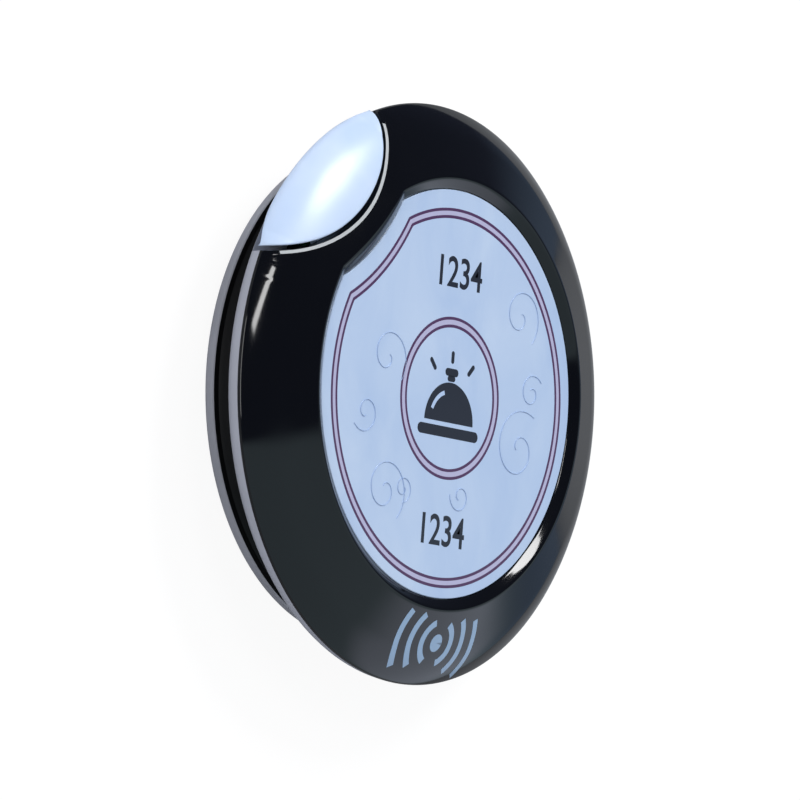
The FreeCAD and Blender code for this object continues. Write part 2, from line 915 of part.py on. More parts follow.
# Parts soldered to the top of the board
CHIP = f"({BOARD_TOP} + chip_lift)"
encoder_chip = box(
    "encoder_chip", "chip_length", "chip_width", CHIP, f"({CHIP} + chip_height)", "chip_x", "chip_y"
)
pins = []
for side, sign in (("upper", 1), ("lower", -1)):
    for number in range(PINS_PER_SIDE):
        offset = number - (PINS_PER_SIDE - 1) / 2
        x = f"(chip_x + ({offset}) * pin_pitch)"
        foot = box(
            f"pin_foot_{side}_{number}",
            "pin_width",
            "pin_reach",
            BOARD_TOP,
            f"({BOARD_TOP} + lead_thickness)",
            x,
            f"(chip_y + ({sign}) * (chip_width + pin_reach) / 2)",
        )
        leg = box(
            f"pin_leg_{side}_{number}",
            "pin_width",
            "lead_thickness",
            BOARD_TOP,
            f"({BOARD_TOP} + pin_rise)",
            x,
            f"(chip_y + ({sign}) * (chip_width + lead_thickness) / 2)",
        )
        pins.append(fuse(f"pin_{side}_{number}", foot, leg))
encoder_pins = group("encoder_pins", *pins)
crystal_can = rounded(
    "crystal_can",
    box(
        "crystal_block",
        "crystal_length",
        "crystal_width",
        BOARD_TOP,
        f"({BOARD_TOP} + crystal_height)",
        "crystal_x",
        "crystal_y",
    ),
    "crystal_round",
    lambda edge: edge.BoundBox.ZLength > size("crystal_height") / 2,
)
rf_transistor = box(
    "rf_transistor",
    "transmitter_length",
    "transmitter_width",
    BOARD_TOP,
    f"({BOARD_TOP} + transmitter_height)",
    "transmitter_x",
    "transmitter_y",
)


def chip_parts(name, count, x, y, length, width):
    """A column of equal little blocks on the board."""
    return group(
        name,
        *[
            box(
                f"{name}_{number}",
                length,
                width,
                BOARD_TOP,
                f"({BOARD_TOP} + chip_part_height)",
                x,
                f"({y} + {number} * chip_part_pitch)",
            )
            for number in range(count)
        ],
    )


resistors = chip_parts(
    "resistors", RESISTOR_COUNT, "resistors_x", "resistors_y", "chip_part_length", "chip_part_width"
)
capacitors = chip_parts(
    "capacitors",
    CAPACITOR_COUNT,
    "capacitors_x",
    "(capacitors_y - chip_part_pitch)",
    "chip_part_length",
    "chip_part_width",
)
turns = []
for number in range(COIL_TURNS):
    turn_ring = doc.addObject("Part::Torus", f"coil_turn_{number}")
    bind(turn_ring, Radius1="coil_radius - coil_tube", Radius2="coil_tube")
    place(
        turn_ring,
        f"coil_x + {number} * coil_pitch",
        "coil_y",
        f"({BOARD_TOP} + coil_radius)",
        "coil_stand_angle",
        Y_AXIS,
    )
    turns.append(turn_ring)
rf_coil = group("rf_coil", *turns)
antenna_sweep = cylinder(
    "antenna_sweep",
    ANTENNA_RADIUS,
    BOARD_TOP,
    f"({BOARD_TOP} + antenna_thickness)",
    sweep="antenna_sweep_angle",
    turn="antenna_start_angle",
)
loop_antenna = cut(
    "loop_antenna",
    antenna_sweep,
    cylinder(
        "antenna_inside",
        f"({ANTENNA_RADIUS} - antenna_width)",
        f"({BOARD_TOP} - overrun)",
        f"({BOARD_TOP} + overrun)",
    ),
)

# White key: a crowned shell that follows the rim, with a skirt, and a lip under the black top
BULGE = f"({RIM} - key_bulge_drop)"
KEY_CREST = f"({RIM} + key_crest_rise)"
KEY_MIDDLE = f"({RIM} + key_middle_rise)"
key_outline = [
    ("0", KEY_CREST),
    (f"({KEY_RADIUS} - key_crest_inset)", KEY_CREST),
    (f"({KEY_RADIUS} - key_brow_inset)", f"({RIM} + key_brow_rise)"),
    (f"({KEY_RADIUS} - key_middle_inset)", KEY_MIDDLE),
    (f"({KEY_RADIUS} - key_cheek_inset)", f"({RIM} + key_cheek_rise)"),
    (f"({KEY_RADIUS} - key_side_inset)", f"({RIM} + key_side_rise)"),
    (KEY_RADIUS, BULGE),
    (f"({KEY_RADIUS} - key_hem_inset)", f"({RIM} - key_hem_drop)"),
    (f"({KEY_RADIUS} - key_skirt_inset)", KEY_BOTTOM),
    ("0", KEY_BOTTOM),
]
key_blank = turned("key_blank", key_outline)
KEY_ARC = "(bite_radius - key_gap)"
key_lens = common(
    "key_lens",
    key_blank,
    cylinder("key_arc", KEY_ARC, f"({KEY_BOTTOM} - overrun)", f"({CROWN} + overrun)", KEY_CENTRE),
)
hollow_key_outline = [
    ("0", f"({KEY_CREST} - key_wall)"),
    (f"({KEY_RADIUS} - key_crest_inset - key_wall / 2)", f"({KEY_CREST} - key_wall)"),
    (f"({KEY_RADIUS} - key_middle_inset - key_wall)", f"({KEY_MIDDLE} - key_wall)"),
    (f"({KEY_RADIUS} - key_wall)", BULGE),
    (f"({KEY_RADIUS} - key_skirt_inset - key_wall)", f"({KEY_BOTTOM} - overrun)"),
    ("0", f"({KEY_BOTTOM} - overrun)"),
]
key_hollow = turned("key_hollow", hollow_key_outline)
key_cavity = common(
    "key_cavity",
    key_hollow,
    cylinder(
        "key_cavity_arc", f"({KEY_ARC} - key_wall)", f"({KEY_BOTTOM} - overrun)", CROWN, KEY_CENTRE
    ),
)
key_under = cylinder(
    "key_under",
    "(disc_radius - key_skirt_clear)",
    f"({KEY_BOTTOM} - overrun)",
    f"({WALL_TOP} + key_inner_clear)",
)
LIP_CENTRE = f"(({LIP_END} + {KEY_EDGE} + key_lip_overlap) / 2)"
key_lip = cut(
    "key_lip",
    box(
        "key_lip_plate",
        f"({KEY_EDGE} + key_lip_overlap - {LIP_END})",
        "key_lip_width",
        LIP,
        LIP_TOP,
        LIP_CENTRE,
    ),
    *[
        cylinder(
            f"key_lip_hole_{number}",
            "(key_post_radius + key_post_fit)",
            f"({LIP} - overrun)",
            f"({LIP_TOP} + overrun)",
            KEY_POST_X,
            side,
        )
        for number, side in enumerate(("key_post_spread", "-key_post_spread"))
    ],
)
key = by_key(fuse("key", cut("key_shell", key_lens, key_cavity, key_under), key_lip))

NODES = [
    top_shell, face_label, face_adhesive, trim_ring, base_shell, back_cover, rubber_feet,
    battery_door, coin_cell, cell_holder, contact_minus, contact_plus, pcb, case_screws,
    board_screws, switch_base, switch_cover, switch_stem, switch_dome, switch_leads,
    encoder_chip, encoder_pins, crystal_can, rf_transistor, resistors, capacitors, rf_coil,
    loop_antenna, key,
]
doc.recompute()
os.makedirs("parts", exist_ok=True)
for node in NODES:
    if "Invalid" in node.State or "Error" in node.State:
        raise RuntimeError(f"{node.Label} did not recompute")
    if node.Shape.isNull() or not node.Shape.isValid():
        raise RuntimeError(f"{node.Label} has no valid shape")
    node.Shape.exportStep(f"parts/{node.Label}.step")
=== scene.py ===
import bmesh
import bpy
import math
import numpy as np
from mathutils import Matrix, Vector


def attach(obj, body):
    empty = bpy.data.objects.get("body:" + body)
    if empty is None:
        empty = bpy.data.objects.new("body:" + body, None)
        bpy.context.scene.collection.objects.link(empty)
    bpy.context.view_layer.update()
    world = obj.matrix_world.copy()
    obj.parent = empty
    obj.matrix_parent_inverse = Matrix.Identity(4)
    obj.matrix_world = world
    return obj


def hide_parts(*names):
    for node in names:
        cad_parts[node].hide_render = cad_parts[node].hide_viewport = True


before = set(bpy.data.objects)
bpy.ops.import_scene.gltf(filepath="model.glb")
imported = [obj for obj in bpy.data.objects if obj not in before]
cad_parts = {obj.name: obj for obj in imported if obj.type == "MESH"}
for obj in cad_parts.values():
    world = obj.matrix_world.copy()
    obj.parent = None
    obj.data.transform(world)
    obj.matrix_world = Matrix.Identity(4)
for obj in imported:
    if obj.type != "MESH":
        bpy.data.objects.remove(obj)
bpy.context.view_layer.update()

# Back cover
# The grey lid of the underside, moulded in ABS with a fine spark-eroded grain. The door opening,
# the bayonet notches, the screw wells and the pockets of the rubber feet are part of the mould.
MM = 0.001
DISC_RADIUS = 29.75
BACK_Z, COVER_TOP_Z, BASE_TOP_Z, TRIM_TOP_Z, RIM_Z = 0.5, 1.9, 6.1, 8.45, 8.6
PLATE_TOP_Z = 1.5
COVER_RADIUS = 25.4
COVER_FOOT_RADIUS = 25.3
COVER_ROUND = 0.6
WALL_SEAT_RADIUS = 24.7
DOOR_HOLE_RADIUS = 12.15
NOTCH_OUTER_RADIUS = 13.45
NOTCH_SWEEP = 26.0
DOOR_LOCKED_ANGLE = 40.0
LUG_COUNT = 3
SCREW_CIRCLE = 20.0
SCREW_ANGLES = (0.0, 90.0, 180.0, 270.0)
SCREW_WELL_RADIUS = 2.0
SCREW_HOLE_RADIUS = 1.2
SCREW_SEAT_RADIUS = 3.0
SCREW_SEAT_Z, SEAT_TOP_Z = 2.2, 2.9
FOOT_CIRCLE = 21.9
FOOT_ANGLES = (45.0, 135.0, 225.0, 315.0)
FOOT_RADIUS = 2.3
FOOT_POCKET_RADIUS = 2.4
FOOT_SUNK = 0.4
SEAT_SUNK = 0.3
COVER_EDGE = 0.1
LATHE_STEPS, ROD_STEPS = 288, 48
OVERRUN = 1.0
SHARP_ANGLE = math.radians(34)
MERGE_GAP, SCRAP_SIZE = 0.002 * MM, 0.001 * MM


def linear(code):
    """The linear colour of an sRGB hex code."""
    parts = [int(code[i : i + 2], 16) / 255 for i in (0, 2, 4)]
    return tuple(
        part / 12.92 if part <= 0.04045 else ((part + 0.055) / 1.055) ** 2.4 for part in parts
    ) + (1.0,)


def placed(name, data):
    """A new object in the scene, at the origin."""
    thing = bpy.data.objects.new(name, data)
    bpy.context.scene.collection.objects.link(thing)
    return thing


def mesh_object(name, points, faces):
    """An object from points in millimetres, with its faces turned outwards."""
    mesh = bpy.data.meshes.new(name)
    mesh.from_pydata([tuple(value * MM for value in point) for point in points], [], faces)
    finish_mesh(mesh)
    return placed(name, mesh)


def finish_mesh(mesh):
    """Merges doubles, drops flat scraps, turns faces outwards and smooths all but sharp edges."""
    work = bmesh.new()
    work.from_mesh(mesh)
    bmesh.ops.remove_doubles(work, verts=work.verts, dist=MERGE_GAP)
    bmesh.ops.dissolve_degenerate(work, edges=work.edges, dist=SCRAP_SIZE)
    bmesh.ops.recalc_face_normals(work, faces=work.faces)
    work.to_mesh(mesh)
    work.free()
    mesh.shade_smooth()
    mesh.set_sharp_from_angle(angle=SHARP_ANGLE)
    mesh.update()


def quads(rows, count, ring=True, closed=False):
    """Faces between rows of points; ring closes the rows, closed joins last row to first."""
    faces = []
    for row in range(rows if closed else rows - 1):
        low, high = row * count, (row + 1) % rows * count
        for column in range(count if ring else count - 1):
            after = (column + 1) % count
            faces.append((low + column, low + after, high + after, high + column))
    return faces


def loft(name, loops):
    """Joins closed loops of equal length into a skin; the end loops are filled."""
    count = len(loops[0])
    last = (len(loops) - 1) * count
    faces = quads(len(loops), count)
    faces += [tuple(range(count)), tuple(range(last, last + count))]
    return mesh_object(name, [point for loop in loops for point in loop], faces)


def flat(name, outline, low, high):
    """An upright solid with a flat outline of (x, y) points."""
    return loft(name, [[(x, y, height) for x, y in outline] for height in (low, high)])


def lathe(name, outline, steps=LATHE_STEPS, centre=(0.0, 0.0)):
    """Turns a closed outline of (radius, height) about an upright axis."""
    points, faces = [], []
    count = len(outline)
    for step in range(steps):
        angle = 2 * math.pi * step / steps
        c, s = math.cos(angle), math.sin(angle)
        points += [(centre[0] + far * c, centre[1] + far * s, height) for far, height in outline]
        here, after = step * count, (step + 1) % steps * count
        for number in range(count):
            following = (number + 1) % count
            faces.append((here + number, after + number, after + following, here + following))
    return mesh_object(name, points, faces)


def circle(radius, x=0.0, y=0.0, steps=128):
    """Points on a circle about x, y."""
    turns = [2 * math.pi * step / steps for step in range(steps)]
    return [(x + radius * math.cos(turn), y + radius * math.sin(turn)) for turn in turns]


def rod(name, radius, low, high, centre=(0.0, 0.0), steps=ROD_STEPS):
    """A plain upright cylinder, for cutting."""
    return flat(name, circle(radius, *centre, steps), low, high)


def polar(radius, degrees):
    """A place on a circle about the puck's axis."""
    return radius * math.cos(math.radians(degrees)), radius * math.sin(math.radians(degrees))


def rods(name, angles, far, radius, low, high):
    """Upright cylinders on a circle about the puck's axis."""
    return [rod(f"{name}_{angle}", radius, low, high, polar(far, angle)) for angle in angles]


def baked(thing):
    """Replaces an object's mesh by what its modifiers make of it."""
    view = bpy.context.evaluated_depsgraph_get()
    made = bpy.data.meshes.new_from_object(thing.evaluated_get(view))
    thing.modifiers.clear()
    thing.data = made
    finish_mesh(made)
    return thing


def combined(thing, operation, tools):
    """Cuts tools out of an object, or joins them to it, and removes the tools."""
    for tool in tools:
        step = thing.modifiers.new(operation.lower(), "BOOLEAN")
        step.operation = operation
        step.solver = "EXACT"
        step.object = tool
    baked(thing)
    for tool in tools:
        bpy.data.objects.remove(tool)
    return thing


def sector(name, inner, outer, low, high, middle, sweep, steps=16):
    """A curved bar between two radii over an angle."""
    loops = []
    for step in range(steps + 1):
        angle = middle - sweep / 2 + sweep * step / steps
        near, far = polar(inner, angle), polar(outer, angle)
        loops.append([(*near, low), (*far, low), (*far, high), (*near, high)])
    return loft(name, loops)


def lugs(name, inner, outer, low, high, first, sweep):
    """The curved bars of the bayonet, spread evenly from a first angle."""
    return [
        sector(f"{name}_{number}", inner, outer, low, high, first + 360 / LUG_COUNT * number, sweep)
        for number in range(LUG_COUNT)
    ]


def arc_points(centre_radius, centre_z, radius, start, stop, steps):
    """Points of an arc in an outline, angles in degrees from outwards to up."""
    turns = [math.radians(start + (stop - start) * step / steps) for step in range(steps + 1)]
    return [
        (centre_radius + radius * math.cos(turn), centre_z + radius * math.sin(turn))
        for turn in turns
    ]


cover_outline = (
    [(DOOR_HOLE_RADIUS, BACK_Z)]
    + arc_points(COVER_FOOT_RADIUS - COVER_ROUND, BACK_Z + COVER_ROUND, COVER_ROUND, -90, -8, 8)
    + [
        (COVER_RADIUS, COVER_TOP_Z - COVER_EDGE),
        (COVER_RADIUS - COVER_EDGE, COVER_TOP_Z),
        (WALL_SEAT_RADIUS, COVER_TOP_Z),
        (WALL_SEAT_RADIUS, PLATE_TOP_Z),
        (DOOR_HOLE_RADIUS, PLATE_TOP_Z),
    ]
)
BELOW_Z = BACK_Z - OVERRUN
back_cover = lathe("cover_moulding", cover_outline)
seats = rods(
    "seat", SCREW_ANGLES, SCREW_CIRCLE, SCREW_SEAT_RADIUS, BACK_Z + SEAT_SUNK, SEAT_TOP_Z
)
combined(back_cover, "UNION", seats)
cover_tools = (
    rods("well", SCREW_ANGLES, SCREW_CIRCLE, SCREW_WELL_RADIUS, BELOW_Z, SCREW_SEAT_Z)
    + rods("hole", SCREW_ANGLES, SCREW_CIRCLE, SCREW_HOLE_RADIUS, BACK_Z, SEAT_TOP_Z + OVERRUN)
    + rods("pocket", FOOT_ANGLES, FOOT_CIRCLE, FOOT_POCKET_RADIUS, BELOW_Z, BACK_Z + FOOT_SUNK)
    + lugs(
        "bayonet",
        DOOR_HOLE_RADIUS - OVERRUN,
        NOTCH_OUTER_RADIUS,
        BELOW_Z,
        PLATE_TOP_Z + OVERRUN,
        DOOR_LOCKED_ANGLE,
        NOTCH_SWEEP,
    )
)
combined(back_cover, "DIFFERENCE", cover_tools)


def new_material(name, values):
    """A node material, with its tree and its principled shader, on which values are set."""
    made = bpy.data.materials.new(name)
    made.use_nodes = True
    tree = made.node_tree
    shader = tree.nodes["Principled BSDF"]
    for key, value in values.items():
        shader.inputs[key].default_value = value
    return made, tree, shader


def add(tree, kind, settings=None, links=None):
    """Adds a node, sets its fields and sockets, and links other sockets into it."""
    made = tree.nodes.new(kind)
    for key, value in (settings or {}).items():
        if isinstance(key, str) and hasattr(made, key):
            setattr(made, key, value)
        else:
            made.inputs[key].default_value = value
    for key, source in (links or {}).items():
        tree.links.new(source, made.inputs[key])
    return made


def noise(tree, size_mm, settings, stretch=None):
    """A noise in the object's own frame, with patches of about a size in millimetres."""
    where = add(tree, "ShaderNodeTexCoord").outputs["Object"]
    if stretch:
        where = add(tree, "ShaderNodeMapping", stretch, {"Vector": where}).outputs["Vector"]
    settings = {"Scale": 1 / (size_mm * MM), **settings}
    return add(tree, "ShaderNodeTexNoise", settings, {"Vector": where}).outputs["Fac"]


def spread(tree, value, low, high, start=0.0, stop=1.0):
    """Spreads a value from the range start to stop over low to high."""
    settings = {"From Min": start, "From Max": stop, "To Min": low, "To Max": high}
    return add(tree, "ShaderNodeMapRange", settings, {"Value": value}).outputs["Result"]


def shaded(tree, shader, colour, tone):
    """Sets the base colour to a colour times a tone."""
    settings = {"data_type": "RGBA", "blend_type": "MULTIPLY", 0: 1.0, 6: linear(colour)}
    shade = add(tree, "ShaderNodeMix", settings, {7: tone})
    tree.links.new(shade.outputs[2], shader.inputs["Base Color"])


def relief(tree, shader, height, strength, depth_mm):
    """Lets a height of a depth in millimetres bend the light."""
    settings = {"Strength": strength, "Distance": depth_mm * MM}
    bump = add(tree, "ShaderNodeBump", settings, {"Height": height})
    tree.links.new(bump.outputs["Normal"], shader.inputs["Normal"])


def moulded(name, colour, roughness, grain_mm, depth_mm, coat=0.0, patchy=0.06, specular=0.5):
    """Moulded plastic: one colour that drifts a little, with the grain of its tool."""
    values = {"Roughness": roughness, "IOR": 1.53, "Coat Weight": coat}
    values["Specular IOR Level"] = specular
    made, tree, shader = new_material(name, values)
    drift = noise(tree, 9, {"Detail": 2.0})
    shaded(tree, shader, colour, spread(tree, drift, 1 - patchy, 1 + patchy, 0.3, 0.7))
    grain = noise(tree, grain_mm, {"Detail": 3.0, "Roughness": 0.6})
    relief(tree, shader, grain, 0.6, depth_mm)
    return made


# ABS from a spark-eroded tool: a soft satin grey, the light breaks up in a grain of about 0.2 mm
satin_grey_abs = moulded("satin_grey_abs", "a4a6ae", 0.42, 0.2, 0.012)


def fit(piece, body, slot, finish, *nodes):
    """Gives a piece its finish, its body and the CAD nodes that it stands for; the slot is not
    used.
    """
    piece.data.materials.clear()
    piece.data.materials.append(finish)
    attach(piece, body)
    if nodes:
        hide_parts(*nodes)
    return piece


fit(back_cover, "housing", "back_grey", satin_grey_abs, "back_cover")

# Rubber feet
# Four die-cut pads of black silicone rubber that keep the puck from sliding on the table. Each is
# glued into a shallow pocket of the back cover and has a lightly domed edge.
FOOT_EDGE = 0.25
FOOT_STEPS = 64
foot_outline = (
    [(0.0, BACK_Z + FOOT_SUNK), (FOOT_RADIUS, BACK_Z + FOOT_SUNK)]
    + arc_points(FOOT_RADIUS - FOOT_EDGE, FOOT_EDGE, FOOT_EDGE, 0, -90, 6)
    + [(0.0, 0.0)]
)
feet, *other_pads = [
    lathe(name, foot_outline, FOOT_STEPS, polar(FOOT_CIRCLE, angle))
    for name, angle in zip(("feet_pads", "pad_2", "pad_3", "pad_4"), FOOT_ANGLES)
]
combined(feet, "UNION", other_pads)
# Silicone rubber: dull black with a dusty bloom and a fine matt grain of about 0.15 mm
black_silicone = moulded("black_silicone_rubber", "1b1b1e", 0.75, 0.15, 0.01, patchy=0.15)
fit(feet, "housing", "foot_rubber", black_silicone, "rubber_feet")

# Battery door
# A bayonet disc moulded in the same grey ABS as the cover. A coin turns it by its slot until the
# three lugs meet the notches of the opening; an arrow moulded beside the slot shows the way.
DOOR_RADIUS = 12.0
DOOR_TOP_Z = 1.9
DOOR_RING_WALL = 1.0
LUG_Z, LUG_TOP_Z = 1.55, 2.25
LUG_OUTER_RADIUS = 13.3
LUG_SWEEP = 20.0
COIN_SLOT_LENGTH, COIN_SLOT_WIDTH, COIN_SLOT_DEPTH = 14.0, 2.0, 0.5
DOOR_EDGE = 0.15
DOOR_STEPS = 192
door_outline = [
    (0.0, BACK_Z),
    (DOOR_RADIUS - DOOR_EDGE, BACK_Z),
    (DOOR_RADIUS - DOOR_EDGE * 0.3, BACK_Z + DOOR_EDGE * 0.3),
    (DOOR_RADIUS, BACK_Z + DOOR_EDGE),
    (DOOR_RADIUS, LUG_TOP_Z),
    (DOOR_RADIUS - DOOR_RING_WALL, LUG_TOP_Z),
    (DOOR_RADIUS - DOOR_RING_WALL, DOOR_TOP_Z),
    (0.0, DOOR_TOP_Z),
]
door = lathe("door_moulding", door_outline, DOOR_STEPS)
lug_root = DOOR_RADIUS - DOOR_RING_WALL / 2
door_lugs = lugs("lug", lug_root, LUG_OUTER_RADIUS, LUG_Z, LUG_TOP_Z, 0.0, LUG_SWEEP)
combined(door, "UNION", door_lugs)


def stadium(length, width, height, x=0.0, y=0.0, turn=0.0, steps=12):
    """A loop with straight sides and round ends at one height."""
    points = []
    for side in (1, -1):
        for step in range(steps + 1):
            angle = math.radians(-90 + 180 * step / steps) + (0 if side == 1 else math.pi)
            along = side * (length - width) / 2 + width / 2 * math.cos(angle)
            across = width / 2 * math.sin(angle)
            c, s = math.cos(turn), math.sin(turn)
            points.append((x + along * c - across * s, y + along * s + across * c, height))
    return points


CUT_START_Z = BACK_Z - 0.3
slot_tool = loft(
    "slot_tool",
    [
        stadium(COIN_SLOT_LENGTH + wider, COIN_SLOT_WIDTH + wider, height)
        for wider, height in (
            (0.6, CUT_START_Z), (0.1, BACK_Z + 0.1), (0.0, BACK_Z + COIN_SLOT_DEPTH)
        )
    ],
)
ARROW_RADIUS, ARROW_WIDTH, ARROW_START, ARROW_STOP, ARROW_DEPTH = 8.6, 0.55, 55.0, 105.0, 0.15
ARROW_BARB, ARROW_TIP_TURN = 1.0, 11
arrow_tool = sector(
    "arrow_tool",
    ARROW_RADIUS - ARROW_WIDTH / 2,
    ARROW_RADIUS + ARROW_WIDTH / 2,
    CUT_START_Z,
    BACK_Z + ARROW_DEPTH,
    (ARROW_START + ARROW_STOP) / 2,
    ARROW_STOP - ARROW_START,
    24,
)
tip = [
    polar(ARROW_RADIUS - ARROW_BARB, ARROW_STOP - 1),
    polar(ARROW_RADIUS + ARROW_BARB, ARROW_STOP - 1),
    polar(ARROW_RADIUS, ARROW_STOP + ARROW_TIP_TURN),
]
arrow_tip = flat("arrow_tip", tip, CUT_START_Z, BACK_Z + ARROW_DEPTH)
combined(door, "DIFFERENCE", [slot_tool, arrow_tool, arrow_tip])
fit(door, "door", "door_grey", satin_grey_abs, "battery_door")

# Base ring
# The black middle ring of the case, moulded in ABS with a matt skin. It stands on the back cover,
# carries the board on its ledge, and shows as the dark groove under the trim ring.
BASE_RADIUS = 24.6
BASE_FOOT_RADIUS = 25.3
BASE_INNER_RADIUS = 23.3
FLANGE_RADIUS = 27.25
FLANGE_Z = 5.5
WALL_TOP_Z = 7.0
LEDGE_TOP_Z, LEDGE_REACH = 6.5, 1.2
SEAM, FLANGE_EDGE, BASE_BEVEL = 0.01, 0.12, 0.1
# The ring's thin foot lies over the cover's top ledge and covers its grey, so that the ledge shows
# dark
base_outline = [
    (BASE_INNER_RADIUS, PLATE_TOP_Z),
    (BASE_RADIUS, PLATE_TOP_Z),
    (BASE_RADIUS, COVER_TOP_Z + SEAM),
    (BASE_FOOT_RADIUS, COVER_TOP_Z + SEAM),
    (BASE_FOOT_RADIUS, COVER_TOP_Z + 0.05),
    (BASE_RADIUS + 0.2, COVER_TOP_Z + 0.2),
    (BASE_RADIUS, COVER_TOP_Z + 0.6),
    (BASE_RADIUS, FLANGE_Z - BASE_BEVEL),
    (BASE_RADIUS + BASE_BEVEL, FLANGE_Z),
    (FLANGE_RADIUS - FLANGE_EDGE, FLANGE_Z),
    (FLANGE_RADIUS, FLANGE_Z + FLANGE_EDGE),
    (FLANGE_RADIUS, BASE_TOP_Z),
    (BASE_RADIUS, BASE_TOP_Z),
    (BASE_RADIUS, WALL_TOP_Z),
    (BASE_INNER_RADIUS, WALL_TOP_Z),
    (BASE_INNER_RADIUS, LEDGE_TOP_Z),
    (BASE_INNER_RADIUS - LEDGE_REACH, LEDGE_TOP_Z),
    (BASE_INNER_RADIUS - LEDGE_REACH, FLANGE_Z),
    (BASE_INNER_RADIUS, FLANGE_Z),
]
base_ring = lathe("base_ring", base_outline)
# ABS with a matt skin: deep black, only a weak broad sheen
matt_black_abs = moulded("matt_black_abs", "060607", 0.6, 0.25, 0.01, specular=0.25)
fit(base_ring, "housing", "base_black", matt_black_abs, "base_shell")

# Trim ring
# The silver-grey band between base and top, moulded in pearl-filled ABS and left glossy. Under
# the key only its lower half goes on, and the key's skirt hangs over that.
TRIM_SIDE = (
    (28.1, 6.1), (28.22, 6.13), (28.34, 6.22), (28.62, 6.46), (28.95, 6.79), (29.22, 7.12),
    (29.42, 7.45), (29.56, 7.8), (29.65, 8.15), (29.7, 8.45),
)
TRIM_RIM_RADIUS = 27.0
TRIM_UNDER_KEY_Z = 6.9
KEY_ANGLE = 135.0
KEY_EDGE = 23.0
BITE_RADIUS = 18.2
KEY_CENTRE = KEY_EDGE + BITE_RADIUS
trim_outline = [
    (WALL_SEAT_RADIUS, BASE_TOP_Z),
    *TRIM_SIDE,
    (TRIM_RIM_RADIUS, TRIM_TOP_Z),
    (TRIM_RIM_RADIUS, WALL_TOP_Z),
    (WALL_SEAT_RADIUS, WALL_TOP_Z),
]
trim = lathe("trim_band", trim_outline)
BITE_STEPS = 256
key_centre = polar(KEY_CENTRE, KEY_ANGLE)
trim_gap = rod(
    "trim_gap", BITE_RADIUS, TRIM_UNDER_KEY_Z, TRIM_TOP_Z + OVERRUN, key_centre, BITE_STEPS
)
combined(trim, "DIFFERENCE", [trim_gap])
# ABS filled with pearl flakes: light grey with a silky gloss, flakes of about 0.1 mm
pearl_grey_abs = moulded("pearl_grey_abs", "a9acb6", 0.3, 0.1, 0.002, patchy=0.05)
fit(trim, "housing", "silver_trim", pearl_grey_abs, "trim_ring")

# Black top
# The domed top of the case, one moulding of ABS polished like piano lacquer. It has a round recess
# for the printed face, a bite in the rim for the key, and hollow bosses for the screws.
FACE_Z, SEAT_Z, CEILING_Z, CROWN_Z = 12.12, 11.62, 10.52, 13.1
RECESS_RADIUS = 20.98
FACE_NOTCH_RADIUS = BITE_RADIUS + 4.0
NOTCH_RADIUS = FACE_NOTCH_RADIUS - 0.1
SLOPE = 0.68 / 1.05
CROWN_SOFT, SLOPE_SOFT = 0.35, 0.3
BITE_FACET, BITE_FACET_SLOPE, BITE_SOFT = 0.36, 0.4, 0.04
FACET_END_RADIUS = 28.9
RIM_ROUND = 0.45
CROWN_RADIUS = 21.2
BROW_RADIUS, BROW_Z = 26.37, 11.07
SHOULDER_ROUND = 9.5
HOLLOW_RADIUS, HOLLOW_TOP_Z, ROOF_RADIUS = 27.75, 8.6, 25.2
INNER_SLOPE = (BROW_Z - CROWN_Z) / (BROW_RADIUS - CROWN_RADIUS)
shoulder_angle = math.atan(-INNER_SLOPE)
shoulder_centre_r = BROW_RADIUS - SHOULDER_ROUND * math.sin(shoulder_angle)
shoulder_centre_z = BROW_Z - SHOULDER_ROUND * math.cos(shoulder_angle)
RIM_TURN = 45
rim_turn = math.radians(RIM_TURN)
rim_start = DISC_RADIUS - RIM_ROUND + RIM_ROUND * math.sin(rim_turn)
rim_round_z = (
    shoulder_centre_z
    + math.sqrt(SHOULDER_ROUND**2 - (rim_start - shoulder_centre_r) ** 2)
    - RIM_ROUND * math.cos(rim_turn)
)


def smooth_min(first, second, width):
    """The lower of two heights, with a rounded edge of about the width where they cross."""
    mix = np.clip(0.5 + 0.5 * (second - first) / width, 0, 1)
    return second * (1 - mix) + first * mix - width * mix * (1 - mix)


def dome_height(radius):
    """The height of the polished dome, from its flat crown to the round rim."""
    crown = np.full_like(radius, CROWN_Z)
    inner = CROWN_Z + (radius - CROWN_RADIUS) * INNER_SLOPE
    height = smooth_min(crown, inner, CROWN_SOFT)
    reach = np.clip(SHOULDER_ROUND**2 - (radius - shoulder_centre_r) ** 2, 0, None)
    height = np.where(radius > BROW_RADIUS, shoulder_centre_z + np.sqrt(reach), height)
    bend = np.clip(RIM_ROUND**2 - (radius - DISC_RADIUS + RIM_ROUND) ** 2, 0, None)
    return np.where(radius > rim_start, rim_round_z + np.sqrt(bend), height)


def to_circle(angle, radius):
    """How far out a ray from the axis meets a circle about the key's centre; far off if never."""
    room = radius**2 - (KEY_CENTRE * np.sin(angle)) ** 2
    met = KEY_CENTRE * np.cos(angle) - np.sqrt(np.clip(room, 0, None))
    return np.where((room > 0) & (np.cos(angle) > 0), met, 1e3)


def key_distance(radius, angle):
    """The distance of points from the centre of the key's inner arc."""
    return np.hypot(radius * np.cos(angle) - KEY_CENTRE, radius * np.sin(angle))


corner_angle = math.acos(
    (KEY_CENTRE**2 + DISC_RADIUS**2 - BITE_RADIUS**2) / (2 * KEY_CENTRE * DISC_RADIUS)
)
KEY_COLUMNS, NEAR_COLUMNS, FAR_COLUMNS = 96, 40, 232
near_reach = math.radians(14)
stretches = (
    -corner_angle,
    corner_angle,
    corner_angle + near_reach,
    2 * math.pi - corner_angle - near_reach,
    2 * math.pi - corner_angle,
)
column_counts = (KEY_COLUMNS, NEAR_COLUMNS, FAR_COLUMNS, NEAR_COLUMNS)
columns = np.concatenate(
    [
        np.linspace(start, stop, count, endpoint=False)
        for start, stop, count in zip(stretches, stretches[1:], column_counts)
    ]
)


